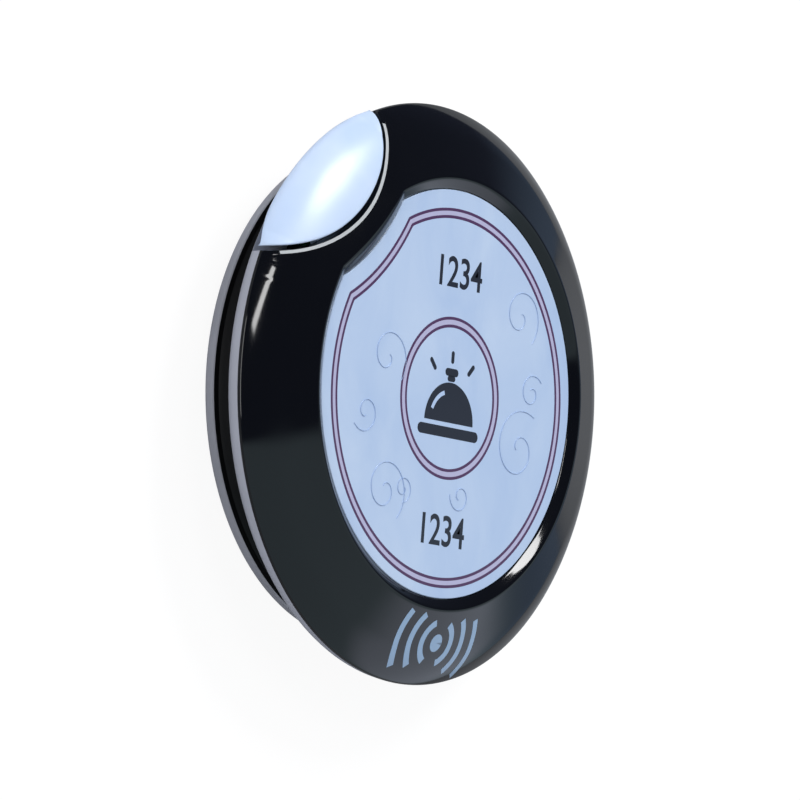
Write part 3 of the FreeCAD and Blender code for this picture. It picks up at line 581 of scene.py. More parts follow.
def facet_height(radius, angle):
    """The height of the narrow facet that breaks the bite's edge and runs out before the rim."""
    off_wall = key_distance(radius, angle) - BITE_RADIUS
    along = (BITE_RADIUS + BITE_FACET) / (BITE_RADIUS + off_wall)
    head_x = KEY_CENTRE + (radius * np.cos(angle) - KEY_CENTRE) * along
    head = dome_height(np.hypot(head_x, radius * np.sin(angle) * along))
    run_out = np.clip((radius - FACET_END_RADIUS) / BITE_FACET, 0, 1)
    return head + (off_wall - BITE_FACET) * BITE_FACET_SLOPE + run_out


def shell_height(radius, angle):
    """The height of the top's outer skin: the dome, its bite's facet and the recess slope."""
    dome = smooth_min(dome_height(radius), facet_height(radius, angle), BITE_SOFT)
    off_face = np.maximum(radius - RECESS_RADIUS, NOTCH_RADIUS - key_distance(radius, angle))
    return smooth_min(dome, FACE_Z + np.clip(off_face, 0, None) * SLOPE, SLOPE_SOFT)


def outer_radius(rim_offset, bite_offset):
    """How far out each column is at an offset in from the rim and from the bite's wall."""
    return np.minimum(DISC_RADIUS - rim_offset, to_circle(columns, BITE_RADIUS + bite_offset))


def inner_radius(offset):
    """How far out each column is at an offset from the recess."""
    return np.minimum(RECESS_RADIUS + offset, to_circle(columns, NOTCH_RADIUS - offset))


def ring_of(radius, height, angle=None):
    """A loop of points at each column, turned from the key's frame to the puck's."""
    turned = (columns if angle is None else angle) + math.radians(KEY_ANGLE)
    height = np.broadcast_to(height, radius.shape)
    return list(zip(radius * np.cos(turned), radius * np.sin(turned), height))


def skin_ring(radius):
    """A loop of points on the top's outer skin."""
    return ring_of(radius, shell_height(radius, columns))


# Rows of the skin: offsets from the recess, then a plain band, then pairs of offsets in from the
# rim and from the bite's wall, the last of them turns of the rim's round and offsets from the wall
RECESS_ROWS = (0.05, 0.25, 0.5, 0.75, 0.9, 1.0, 1.1, 1.2, 1.35, 1.5, 1.62)
BAND_ROWS = 18
DOME_ROWS = ((1.3, 1.6), (0.9, 1.1), (0.5, 0.7), (0.3, 0.5))
RIM_ROWS = (
    (90, 0.44), (78, 0.41), (66, 0.385), (54, 0.36), (42, 0.335), (30, 0.3), (18, 0.2), (8, 0.1),
    (0, 0.0),
)
outer_offsets = list(DOME_ROWS)
for turn, off_wall in RIM_ROWS:
    rim_drop = 1 - math.cos(math.radians(turn * (90 - RIM_TURN) / 90))
    outer_offsets.append((RIM_ROUND * rim_drop, off_wall))
skin = [ring_of(inner_radius(0.0), height) for height in (SEAT_Z, FACE_Z - 0.02)]
skin += [skin_ring(inner_radius(offset)) for offset in RECESS_ROWS]
last_inner = inner_radius(RECESS_ROWS[-1])
first_outer = outer_radius(*outer_offsets[0])
for row in range(1, BAND_ROWS):
    skin.append(skin_ring(last_inner + (first_outer - last_inner) * row / BAND_ROWS))
skin += [skin_ring(outer_radius(*offsets)) for offsets in outer_offsets]
edge_radius = outer_radius(0.0, 0.0)
edge_height = shell_height(edge_radius, columns)
in_bite = to_circle(columns, BITE_RADIUS) < DISC_RADIUS - 1e-6
signed_columns = (columns + math.pi) % (2 * math.pi) - math.pi
corner = np.isclose(np.abs(signed_columns), corner_angle)


def roof_height(radius):
    """The height of the hollow's roof under the dome."""
    fall = (CEILING_Z - HOLLOW_TOP_Z) / (HOLLOW_RADIUS - ROOF_RADIUS)
    slope = HOLLOW_TOP_Z + (HOLLOW_RADIUS - radius) * fall
    return np.where(radius >= HOLLOW_RADIUS, TRIM_TOP_Z, np.minimum(slope, CEILING_Z))


def on_bite(radius):
    """The columns' angles, with the two corner columns moved along the bite to a radius."""
    cosine = (KEY_CENTRE**2 + radius**2 - BITE_RADIUS**2) / (2 * KEY_CENTRE * radius)
    shift = np.arccos(np.clip(cosine, -1, 1))
    return np.where(corner, np.sign(signed_columns) * shift, columns)


UNDER_TURNS = (-6, -12, -17, -22)
UNDER_ROWS = (29.3, 28.6, HOLLOW_RADIUS)
ROOF_ROWS = (HOLLOW_RADIUS - 0.001, 26.5, ROOF_RADIUS, 24.0, 22.0, 18.0, 10.0, 3.0)
wall_foot = roof_height(edge_radius)
for number, turn in enumerate(UNDER_TURNS, start=1):
    rim_radius = DISC_RADIUS - RIM_ROUND + RIM_ROUND * math.cos(math.radians(turn))
    rim_height = max(rim_round_z + RIM_ROUND * math.sin(math.radians(turn)), TRIM_TOP_Z)
    share = number / len(UNDER_TURNS)
    radius = np.where(in_bite, edge_radius, rim_radius)
    height = np.where(in_bite, edge_height + (wall_foot - edge_height) * share, rim_height)
    skin.append(ring_of(radius, height, on_bite(radius)))
for target in UNDER_ROWS + ROOF_ROWS:
    radius = np.minimum(target, edge_radius)
    height = roof_height(radius)
    if target in UNDER_ROWS:
        height = np.maximum(height, TRIM_TOP_Z)
    skin.append(ring_of(radius, height, on_bite(radius)))
top = loft("top_skin", skin)

BOSS_RADIUS, BOSS_HOLE_RADIUS = 2.0, 1.03
BOARD_TOP_Z = 7.5
BOARD_SCREW_CIRCLE, BOARD_BOSS_RADIUS, BOARD_HOLE_RADIUS = 20.25, 1.7, 0.83
BOARD_SCREW_ANGLES = (75.0, 195.0, 315.0)
POST_RADIUS, POST_REACH, POST_SPREAD, POST_LENGTH = 0.8, 1.7, 4.2, 1.5


def sprout_tree(name, labels):
    """A Geometry Nodes tree that takes points, sizes and a finish, with its input node."""
    tree = bpy.data.node_groups.new(name, "GeometryNodeTree")
    face = tree.interface
    face.new_socket("Points", in_out="INPUT", socket_type="NodeSocketGeometry")
    for label in labels:
        face.new_socket(label, in_out="INPUT", socket_type="NodeSocketFloat")
    face.new_socket("Finish", in_out="INPUT", socket_type="NodeSocketMaterial")
    face.new_socket("Grown", in_out="OUTPUT", socket_type="NodeSocketGeometry")
    return tree, add(tree, "NodeGroupInput").outputs


def sprout(tree, given, shape, **turned):
    """Ends a tree: sets a shape on each point, as real mesh in the finish."""
    links = {"Points": given["Points"], "Instance": shape, **turned}
    copies = add(tree, "GeometryNodeInstanceOnPoints", {}, links).outputs["Instances"]
    real = add(tree, "GeometryNodeRealizeInstances", {}, {"Geometry": copies})
    links = {"Geometry": real.outputs["Geometry"], "Material": given["Finish"]}
    painted = add(tree, "GeometryNodeSetMaterial", {}, links)
    add(tree, "NodeGroupOutput", {}, {"Grown": painted.outputs["Geometry"]})
    return tree


def boss_tree():
    """Hollow bosses that stand down from a roof, with a hole from below."""
    tree, given = sprout_tree("bosses_from_points", ("Outer Radius", "Hole Radius", "Length"))

    def times(factor):
        settings = {"operation": "MULTIPLY", 1: factor}
        return add(tree, "ShaderNodeMath", settings, {0: given["Length"]}).outputs[0]

    def cylinder(sides, radius, depth):
        links = {"Radius": radius, "Depth": depth}
        made = add(tree, "GeometryNodeMeshCylinder", {"Vertices": sides}, links)
        return made.outputs["Mesh"]

    outside = cylinder(48, given["Outer Radius"], given["Length"])
    inside = cylinder(32, given["Hole Radius"], times(1.5))
    offset = add(tree, "ShaderNodeCombineXYZ", {}, {"Z": times(-0.4)}).outputs[0]
    links = {"Geometry": inside, "Translation": offset}
    sunk = add(tree, "GeometryNodeTransform", {}, links).outputs["Geometry"]
    links = {"Mesh 1": outside, "Mesh 2": sunk}
    hollow = add(tree, "GeometryNodeMeshBoolean", {"operation": "DIFFERENCE"}, links)
    return sprout(tree, given, hollow.outputs["Mesh"])


bosses = boss_tree()


def grown(name, tree, places, finish, **sizes):
    """Runs a tree on a cloud of points in millimetres and keeps the plain mesh that it makes."""
    mesh = bpy.data.meshes.new(name)
    mesh.from_pydata([tuple(value * MM for value in place) for place in places], [], [])
    thing = placed(name, mesh)
    step = thing.modifiers.new("grow", "NODES")
    step.node_group = tree
    for item in tree.interface.items_tree:
        if item.in_out != "INPUT" or item.socket_type == "NodeSocketGeometry":
            continue
        if item.socket_type == "NodeSocketMaterial":
            step[item.identifier] = finish
        else:
            step[item.identifier] = sizes[item.name.lower().replace(" ", "_")]
    return baked(thing)


# ABS from a mirror-polished tool: deep black under a lacquer-like gloss, with hair-fine wipe marks
gloss_values = {"Base Color": linear("07080b"), "IOR": 1.5}
polished_black_abs, tree, shader = new_material("polished_black_abs", gloss_values)
smudge = noise(tree, 6, {"Detail": 4.0})
tree.links.new(spread(tree, smudge, 0.05, 0.12, 0.35, 0.75), shader.inputs["Roughness"])
relief(tree, shader, noise(tree, 4, {"Detail": 1.0}), 0.15, 0.01)
fit(top, "housing", "black_gloss", polished_black_abs, "top_shell")


def from_key(x, y, z):
    """A place in the key's frame, turned to the puck's frame."""
    turn = math.radians(KEY_ANGLE)
    return (x * math.cos(turn) - y * math.sin(turn), x * math.sin(turn) + y * math.cos(turn), z)


def hanging(name, spots, radius, hole_radius, low):
    """Bosses from the ceiling down to a height, at spots of (x, y)."""
    middle = (low + CEILING_Z) / 2
    made = grown(
        name,
        bosses,
        [(x, y, middle) for x, y in spots],
        matt_black_abs,
        outer_radius=radius * MM,
        hole_radius=hole_radius * MM,
        length=(CEILING_Z - low) * MM,
    )
    return fit(made, "housing", "black_gloss", matt_black_abs)


screw_spots = [polar(SCREW_CIRCLE, angle) for angle in SCREW_ANGLES]
board_spots = [polar(BOARD_SCREW_CIRCLE, angle) for angle in BOARD_SCREW_ANGLES]
post_spots = [
    from_key(KEY_EDGE - POST_REACH, side * POST_SPREAD, 0.0)[:2] for side in (1, -1)
]
hanging("case_bosses", screw_spots, BOSS_RADIUS, BOSS_HOLE_RADIUS, SEAT_TOP_Z)
hanging("board_bosses", board_spots, BOARD_BOSS_RADIUS, BOARD_HOLE_RADIUS, BOARD_TOP_Z)
hanging("key_posts", post_spots, POST_RADIUS, POST_RADIUS * 0.4, CEILING_Z - POST_LENGTH)

# Printed face
# A disc of clear polycarbonate film, printed on its back in pale blue with a pearly cloud, and
# glued into the recess. The glossy skin in front of the print gives it a hard, clear reflection.
FACE_RADIUS = 20.88
FACE_THICKNESS = 0.4
FACE_EDGE = 0.06


def border_radius(radius, notch):
    """How far out each column is on a disc with a notch for the key."""
    return np.minimum(radius, to_circle(columns, notch))


face_edge = border_radius(FACE_RADIUS, FACE_NOTCH_RADIUS)
face_top = border_radius(FACE_RADIUS - FACE_EDGE, FACE_NOTCH_RADIUS + FACE_EDGE)
face = loft(
    "face_film",
    [
        ring_of(face_edge, FACE_Z - FACE_THICKNESS),
        ring_of(face_edge, FACE_Z - FACE_EDGE),
        ring_of(face_top, FACE_Z),
    ],
)
FILM_COAT = {"Coat Weight": 0.6, "Coat Roughness": 0.08}


def toned(tree, shader, value, *stops):
    """Sets the base colour from a value, over stops of a place and a colour."""
    ramp = add(tree, "ShaderNodeValToRGB", {}, {"Fac": value})
    for element, (place, code) in zip(ramp.color_ramp.elements, stops):
        element.position = place
        element.color = linear(code)
    tree.links.new(ramp.outputs["Color"], shader.inputs["Base Color"])


# Back-printed film: a cloudy pale blue, about 8 mm from cloud to cloud, deep under a clear gloss
pearl_blue_film, tree, shader = new_material(
    "pearl_blue_print_under_film", {"Roughness": 0.5, "IOR": 1.4, **FILM_COAT}
)
cloud = noise(
    tree,
    8,
    {"Detail": 4.0, "Roughness": 0.55, "Distortion": 0.6},
    {"Rotation": (0, 0, math.radians(35)), "Scale": (1.0, 0.55, 1.0)},
)
toned(tree, shader, cloud, (0.3, "b2c9ea"), (0.72, "c3d6f0"))
fit(face, "housing", "face_print", pearl_blue_film, "face_label")


def ink(name, colour, speckle=0.05):
    """Screen-printing ink: an even opaque coat with a faint unevenness, under the same gloss."""
    made, tree, shader = new_material(name, {"Roughness": 0.45, **FILM_COAT})
    grain = noise(tree, 0.5, {"Detail": 2.0})
    shaded(tree, shader, colour, spread(tree, grain, 1 - speckle, 1 + speckle))
    return made


plum_ink = ink("plum_screen_ink", "4f2c58")
lilac_ink = ink("lilac_screen_ink", "b9b8d8")
navy_ink = ink("navy_screen_ink", "131829")
haze_ink = ink("pale_haze_ink", "aec4e6")


def band(name, outer, inner, low, high):
    """A flat closed strip between two loops of (x, y) points."""
    points = []
    for loop, height in ((outer, low), (outer, high), (inner, high), (inner, low)):
        points += [(x, y, height) for x, y in loop]
    return mesh_object(name, points, quads(4, len(outer), closed=True))


# The border follows the edge of the film; between its two lines lies a lilac tint
BORDER_X, BORDER_Y = 0.08, -0.40
OUTER_LINE, OUTER_NOTCH = 19.25, 23.8
INNER_LINE, INNER_NOTCH = 18.5, 24.55
MIDDLE = (0.41, -0.40)
MIDDLE_OUTER, MIDDLE_INNER = 8.18, 7.38
LINE_HALF = 0.15
PRINT_Z, TINT_Z, LINE_Z = FACE_Z - 0.01, FACE_Z + 0.008, FACE_Z + 0.014


def border(radius, notch):
    """A loop along the edge of the film."""
    loop = ring_of(border_radius(radius, notch), 0.0)
    return [(x + BORDER_X, y + BORDER_Y) for x, y, _ in loop]


def joined(name, pieces):
    """Joins meshes that are printed in one go."""
    work = bmesh.new()
    for piece in pieces:
        work.from_mesh(piece.data)
        bpy.data.objects.remove(piece)
    mesh = bpy.data.meshes.new(name)
    work.to_mesh(mesh)
    work.free()
    mesh.shade_smooth()
    mesh.set_sharp_from_angle(angle=SHARP_ANGLE)
    return placed(name, mesh)


def printed(name, strips, top_z, finish):
    """Prints strips between pairs of loops on the face."""
    bands = [
        band(f"{name}_{number}", outer, inner, PRINT_Z, top_z)
        for number, (outer, inner) in enumerate(strips)
    ]
    return fit(joined(name, bands), "housing", "face_print", finish)


tints = [
    (border(OUTER_LINE, OUTER_NOTCH), border(INNER_LINE, INNER_NOTCH)),
    (circle(MIDDLE_OUTER, *MIDDLE), circle(MIDDLE_INNER, *MIDDLE)),
]
printed("print_lilac", tints, TINT_Z, lilac_ink)
lines = [
    (border(radius + LINE_HALF, notch - LINE_HALF), border(radius - LINE_HALF, notch + LINE_HALF))
    for radius, notch in ((OUTER_LINE, OUTER_NOTCH), (INNER_LINE, INNER_NOTCH))
]
lines += [
    (circle(radius + LINE_HALF, *MIDDLE), circle(radius - LINE_HALF, *MIDDLE))
    for radius in (MIDDLE_OUTER, MIDDLE_INNER)
]
printed("print_lines", lines, LINE_Z, plum_ink)

# The table's number, plain figures printed above and below the middle
NUMBER = "1234"
NUMBER_HEIGHT, NUMBER_WIDTH = 3.2, 7.2
NUMBER_X, NUMBER_TOP_Y, NUMBER_LOW_Y = 0.85, 12.5, -13.95


def figures(name, y):
    """The number as a thin solid, fitted to its box about a height on the face."""
    curve = bpy.data.curves.new(name, "FONT")
    curve.body = NUMBER
    curve.extrude = 0.5
    curve.offset = 0.012
    curve.resolution_u = 8
    source = placed(name + "_source", curve)
    view = bpy.context.evaluated_depsgraph_get()
    mesh = bpy.data.meshes.new_from_object(source.evaluated_get(view))
    bpy.data.objects.remove(source)
    spots = np.empty(len(mesh.vertices) * 3)
    mesh.vertices.foreach_get("co", spots)
    spots = spots.reshape(-1, 3)
    least, most = spots.min(axis=0), spots.max(axis=0)
    share = (spots - least) / (most - least)
    size = np.array((NUMBER_WIDTH, NUMBER_HEIGHT, LINE_Z - PRINT_Z))
    start = np.array((NUMBER_X - NUMBER_WIDTH / 2, y - NUMBER_HEIGHT / 2, PRINT_Z))
    mesh.vertices.foreach_set("co", ((start + share * size) * MM).ravel())
    finish_mesh(mesh)
    return placed(name, mesh)


numbers = [figures("number_top", NUMBER_TOP_Y), figures("number_low", NUMBER_LOW_Y)]
fit(joined("print_numbers", numbers), "housing", "face_print", navy_ink)

# The sign in the middle: a counter bell on its foot, with strokes for its ring
BELL_X, BELL_Y = 0.45, -0.7
BELL_RADIUS, BELL_BASE_Y, BELL_STEPS = 4.1, -2.2, 40
SHINE_NEAR, SHINE_FAR, SHINE_START, SHINE_STOP, SHINE_STEPS = 2.9, 3.35, 108, 158, 16
SHINE_OVERRUN = 0.1
BELL_STROKES = (
    # place from the bell's middle, length, width, turn in degrees
    (0.0, -3.2, 10.2, 1.1, 0), (0.0, 2.3, 1.3, 0.6, 0), (0.0, 2.95, 2.2, 0.8, 0),
    (-3.2, 3.5, 1.5, 0.5, -48), (0.0, 4.5, 1.3, 0.5, 90), (3.2, 3.5, 1.5, 0.5, 48),
)


def bell_arc(radius, angles):
    """Points on an arc about the middle of the bell's base, angles in radians."""
    return [
        (BELL_X + radius * math.cos(a), BELL_Y + BELL_BASE_Y + radius * math.sin(a)) for a in angles
    ]


shine_angles = [math.radians(a) for a in np.linspace(SHINE_START, SHINE_STOP, SHINE_STEPS)]
shine_outline = bell_arc(SHINE_FAR, shine_angles) + bell_arc(SHINE_NEAR, shine_angles[::-1])
dome_angles = [math.pi * step / BELL_STEPS for step in range(BELL_STEPS + 1)]
dome_sign = flat("dome_sign", bell_arc(BELL_RADIUS, dome_angles), PRINT_Z, LINE_Z)
shine = flat("shine", shine_outline, PRINT_Z - SHINE_OVERRUN, LINE_Z + SHINE_OVERRUN)
combined(dome_sign, "DIFFERENCE", [shine])
bell_parts = [dome_sign]
for number, (x, y, length, width, turn) in enumerate(BELL_STROKES):
    stroke = stadium(length, width, 0.0, BELL_X + x, BELL_Y + y, math.radians(turn))
    outline = [(px, py) for px, py, _ in stroke]
    bell_parts.append(flat(f"bell_stroke_{number}", outline, PRINT_Z, LINE_Z))
fit(joined("print_bell", bell_parts), "housing", "face_print", navy_ink)

# Curls printed as a pale haze in the ground of the face, thin enough to be seen only close up
CURLS = (
    # place, turns, radius, heading
    (-10.4, 2.6, 1.2, 3.3, 30), (-9.4, -10.8, 1.5, 3.6, 130), (-6.4, -10.4, 1.3, 1.5, 20),
    (12.6, -4.2, 1.4, 4.2, 200), (11.4, 9.4, 1.3, 3.4, 60), (3.2, -10.2, 1.2, 1.7, 250),
    (14.2, 1.8, 1.2, 2.0, 110), (-13.4, -3.4, 1.2, 2.2, 290),
)
CURL_START, CURL_WIDTH, CURL_HEIGHT, CURL_SUNK = 0.35, 0.18, 0.009, 0.002


def curl_tree():
    """One flat printed curl: a spiral given a width, set at a point."""
    labels = ("Turns", "Radius", "Heading", "Line Width", "Line Height")
    tree, given = sprout_tree("printed_curl", labels)
    settings = {"Resolution": 40, "Start Radius": CURL_START * MM, "Height": 0.0}
    links = {"Rotations": given["Turns"], "End Radius": given["Radius"]}
    spiral = add(tree, "GeometryNodeCurveSpiral", settings, links)
    links = {"Width": given["Line Height"], "Height": given["Line Width"]}
    section = add(tree, "GeometryNodeCurvePrimitiveQuadrilateral", {}, links)
    links = {"Curve": spiral.outputs[0]}
    upright = add(tree, "GeometryNodeSetCurveNormal", {"mode": "Z_UP"}, links)
    links = {"Curve": upright.outputs[0], "Profile Curve": section.outputs[0]}
    strip = add(tree, "GeometryNodeCurveToMesh", {"Fill Caps": True}, links).outputs["Mesh"]
    heading = add(tree, "ShaderNodeCombineXYZ", {}, {"Z": given["Heading"]})
    return sprout(tree, given, strip, Rotation=heading.outputs[0])


curl = curl_tree()
curls = [
    grown(
        f"curl_{number}",
        curl,
        [(x, y, FACE_Z - CURL_SUNK)],
        haze_ink,
        turns=turns,
        radius=radius * MM,
        heading=math.radians(heading),
        line_width=CURL_WIDTH * MM,
        line_height=CURL_HEIGHT * MM,
    )
    for number, (x, y, turns, radius, heading) in enumerate(CURLS)
]
fit(joined("print_curls", curls), "housing", "face_print", haze_ink)

# Sign on the black top
# A plain sign for radio waves, pad-printed in light blue on the dome below the face: a dot and
# three curved strokes on each side. The ink is one thin coat that follows the dome.
SIGN_X, SIGN_Y = 1.9, -25.35
SIGN_DOT, DOT_SHARES, DOT_STEPS = 0.9, (0.02, 0.35, 0.7, 1.0), 33
SIGN_WAVES = ((2.4, 62), (4.3, 42), (6.3, 30))
SIGN_STROKE, SIGN_SQUASH, SIGN_LANES, SIGN_STEPS = 0.75, 0.92, 4, 25
SIGN_RISE = 0.02


def coat(name, rows, heights):
    """A thin coat on a skin, over rows of (x, y) points and the skin's heights there."""
    lanes, count = rows.shape[:2]
    points = [
        (*rows[lane, spot], heights[lane, spot] + rise)
        for rise in (SIGN_RISE, -SIGN_RISE)
        for lane in range(lanes)
        for spot in range(count)
    ]
    below = lanes * count
    faces = []
    for face in quads(lanes, count, ring=False):
        faces += [face, tuple(corner + below for corner in reversed(face))]
    edge = [lane * count for lane in range(lanes)]
    edge += [(lanes - 1) * count + spot for spot in range(1, count)]
    edge += [lane * count + count - 1 for lane in range(lanes - 2, -1, -1)]
    edge += list(range(count - 2, 0, -1))
    for first, second in zip(edge, edge[1:] + edge[:1]):
        faces.append((first, second, second + below, first + below))
    return mesh_object(name, points, faces)


def on_dome(name, rows):
    """A thin coat on the dome over rows of (x, y) points."""
    rows = np.array(rows)
    return coat(name, rows, dome_height(np.hypot(rows[..., 0], rows[..., 1])))


def wave(name, radius, sweep, side):
    """One curved stroke of the sign, to the left or right of its dot."""
    turns = [math.radians(angle) for angle in np.linspace(-sweep, sweep, SIGN_STEPS)]
    rows = []
    for share in np.linspace(-0.5, 0.5, SIGN_LANES):
        reach = radius + share * SIGN_STROKE
        rows.append(
            [
                (SIGN_X + side * reach * math.cos(a), SIGN_Y + reach * math.sin(a) * SIGN_SQUASH)
                for a in turns
            ]
        )
    return on_dome(name, rows)


dot_turns = np.linspace(0, 2 * math.pi, DOT_STEPS)
dot_rows = [
    [
        (SIGN_X + SIGN_DOT * share * math.cos(a), SIGN_Y + SIGN_DOT * share * math.sin(a))
        for a in dot_turns
    ]
    for share in DOT_SHARES
]
sign_parts = [on_dome("dot", dot_rows)]
for number, (radius, sweep) in enumerate(SIGN_WAVES):
    sign_parts += [wave(f"wave_{number}_{side}", radius, sweep, side) for side in (1, -1)]
sky_ink = ink("sky_blue_pad_ink", "8eadcc")
fit(joined("wave_sign", sign_parts), "housing", "face_print", sky_ink)

# Painted highlight along the key
# A thin light grey line laid on the narrow facet of the top's bite, along the key: a painted
# highlight that stands for the light on the bite's rounded edge. It begins a little way in from the
# rim at both ends.
FRAME_LINE = (0.02, 0.13, 0.24, 0.34)
FRAME_SWEEP, FRAME_STEPS = 36.0, 97
frame_turns = np.radians(np.linspace(-FRAME_SWEEP, FRAME_SWEEP, FRAME_STEPS))
frame_reach = BITE_RADIUS + np.array(FRAME_LINE)[:, None]
frame_x = KEY_CENTRE - frame_reach * np.cos(frame_turns)
frame_y = frame_reach * np.sin(frame_turns)
frame_heights = shell_height(np.hypot(frame_x, frame_y), np.arctan2(frame_y, frame_x))
line_x, line_y, _ = from_key(frame_x, frame_y, 0.0)
silver_line = coat("silver_line", np.stack([line_x, line_y], axis=-1), frame_heights)
# Painted highlight: a pale satin grey in the ink shader, standing for the light on the bite's edge
edge_highlight_paint = ink("silver_screen_ink", "b4b8ba")
fit(silver_line, "housing", "silver_trim", edge_highlight_paint)

# Key
# The white press key in the rim, moulded in polished ABS. Its crown carries on the line of the
# dome, its skirt hangs over the trim ring, and a lip behind it lies under the black top.
KEY_GAP = 0.5
KEY_ARC = BITE_RADIUS - KEY_GAP
KEY_PROUD = 0.15
KEY_RADIUS = DISC_RADIUS + KEY_PROUD
KEY_INNER_ROUND = 0.28
KEY_UNDER_Z = 8.45
KEY_WALL = 1.4
KEY_BULGE_Z, KEY_HEM_Z = 8.0, 7.3
HEM_RISE, HEM_RISE_REACH = 0.95, 5.0
SKIRT_INSET = 0.2
KEY_CROWN_Z, CROWN_SPAN, CROWN_POWER, CROWN_ROUNDNESS = 13.0, 12.72, 2.35, 1.65
BULGE_OVER_HEM, HEM_TUCK, HEM_LIFT = 0.1, 0.05, 0.04
KEY_LANES = 97
tip_angle = math.acos(
    (KEY_CENTRE**2 + KEY_RADIUS**2 - KEY_ARC**2) / (2 * KEY_CENTRE * KEY_RADIUS)
)
key_turns = tip_angle * np.sin(np.linspace(-math.pi / 2, math.pi / 2, KEY_LANES))
off_tip = np.degrees(tip_angle - np.abs(key_turns))
hem_z = KEY_HEM_Z + HEM_RISE * np.exp(-((off_tip / HEM_RISE_REACH) ** 2))
bulge_z = np.maximum(KEY_BULGE_Z, hem_z + BULGE_OVER_HEM)


def crown_height(reach):
    """The key's crown over its distance from the axis: a quarter of a superellipse."""
    share = np.clip(1 - (KEY_RADIUS - reach) / CROWN_SPAN, 0, 1)
    rise = (1 - share**CROWN_POWER) ** (1 / CROWN_ROUNDNESS)
    return bulge_z + (KEY_CROWN_Z - bulge_z) * rise


def skirt_height(reach):
    """The height of the skirt's outside below the widest place; its hem rises to the tips."""
    share = np.clip(KEY_RADIUS - reach, 0, SKIRT_INSET) / SKIRT_INSET
    return bulge_z - (bulge_z - hem_z) * share**0.3


def key_inner(offset):
    """How far out the key's inner arc is on each lane, less an offset."""
    room = np.clip((KEY_ARC - offset) ** 2 - (KEY_CENTRE * np.sin(key_turns)) ** 2, 0, None)
    return np.minimum(KEY_CENTRE * np.cos(key_turns) - np.sqrt(room), KEY_RADIUS)


def key_points(reach, height):
    """One row of key points from their distance to the axis."""
    height = np.broadcast_to(height, reach.shape)
    spots = zip(reach * np.cos(key_turns), reach * np.sin(key_turns), height)
    return [from_key(*spot) for spot in spots]


def key_top(reach):
    """The crown's height with its rounded edge along the inner arc."""
    off = np.clip(KEY_ARC - key_distance(reach, key_turns), 0, KEY_INNER_ROUND)
    drop = KEY_INNER_ROUND - np.sqrt(KEY_INNER_ROUND**2 - (KEY_INNER_ROUND - off) ** 2)
    return crown_height(reach) - drop


# Rows of the skin: up the inner side, round its edge, over the crown, down the skirt, round the hem
SIDE_SHARES = (0.0, 0.33, 0.66)
EDGE_TURNS = (0, 10, 20, 32, 45, 58, 72, 90)
CROWN_SHARES = np.sin(np.linspace(0.04, math.pi / 2, 34))
SKIRT_SHARES = (0.001, 0.006, 0.02, 0.06, 0.14, 0.28, 0.48, 0.74, 1.0)
HEM_ROWS = (
    (0.1, hem_z - HEM_TUCK),
    (KEY_WALL - 0.1, hem_z - HEM_TUCK),
    (KEY_WALL, hem_z + HEM_LIFT),
    (KEY_WALL, KEY_UNDER_Z),
)
inner_edge = key_inner(0.0)
edge_top = key_top(inner_edge)
foot = np.minimum(KEY_UNDER_Z, edge_top)
rows = [key_points(inner_edge, foot + (edge_top - foot) * share) for share in SIDE_SHARES]
for turn in EDGE_TURNS:
    reach = key_inner(KEY_INNER_ROUND * (1 - math.cos(math.radians(turn))))
    rows.append(key_points(reach, key_top(reach)))
start = key_inner(KEY_INNER_ROUND)
for share in CROWN_SHARES:
    reach = start + (KEY_RADIUS - start) * share
    rows.append(key_points(reach, key_top(reach)))
for share in SKIRT_SHARES:
    reach = np.maximum(KEY_RADIUS - share * SKIRT_INSET, inner_edge)
    rows.append(key_points(reach, skirt_height(reach)))
for inset, height in HEM_ROWS:
    reach = np.maximum(KEY_RADIUS - SKIRT_INSET - inset, inner_edge)
    height = np.minimum(np.maximum(height, skirt_height(reach)), KEY_UNDER_Z)
    rows.append(key_points(reach, height))
key_faces = quads(len(rows), KEY_LANES, ring=False, closed=True)
key_shell = mesh_object("key_crown", [point for row in rows for point in row], key_faces)
# ABS, polished and slightly milky: bluish white, with a trace of light passing through its edges
milk_values = {
    "Roughness": 0.28,
    "IOR": 1.5,
    "Subsurface Weight": 0.15,
    "Subsurface Radius": (0.8, 0.9, 1.0),
    "Subsurface Scale": 0.6 * MM,
}
milky_white_abs, tree, shader = new_material("milky_white_abs", milk_values)
toned(tree, shader, noise(tree, 7, {"Detail": 2.0}), (0.3, "c4d8f4"), (0.7, "d2e2f8"))
fit(key_shell, "key", "key_white", milky_white_abs, "key")

LIP_TOP_Z, LIP_THICKNESS = CEILING_Z - 0.1, 1.0
LIP_LOW_Z = LIP_TOP_Z - LIP_THICKNESS
LIP_START, LIP_STOP, LIP_WIDTH = 18.8, KEY_EDGE + 1.4, 11.6
LIP_CORNER, LIP_CORNER_STEPS, LIP_PLAY = 0.8, 6, 0.15
lip_corner_x, lip_corner_y = LIP_START + LIP_CORNER, LIP_WIDTH / 2 - LIP_CORNER
lip_outline = (
    arc_points(lip_corner_x, -lip_corner_y, LIP_CORNER, 180, 270, LIP_CORNER_STEPS)
    + [(LIP_STOP, -LIP_WIDTH / 2), (LIP_STOP, LIP_WIDTH / 2)]
    + arc_points(lip_corner_x, lip_corner_y, LIP_CORNER, 90, 180, LIP_CORNER_STEPS)
)
lip = flat("key_lip", [from_key(x, y, 0.0)[:2] for x, y in lip_outline], LIP_LOW_Z, LIP_TOP_Z)
lip_holes = [
    rod("lip_hole", POST_RADIUS + LIP_PLAY, LIP_LOW_Z - OVERRUN, LIP_TOP_Z + OVERRUN, spot)
    for spot in post_spots
]
combined(lip, "DIFFERENCE", lip_holes)
fit(lip, "key", "key_white", milky_white_abs)

# Battery, contacts and screws
# A lithium coin cell of nickel-plated steel, its moulded holder, the two spring contacts under the
# board, and the zinc-plated screws with cross recesses that hold the case and the board.


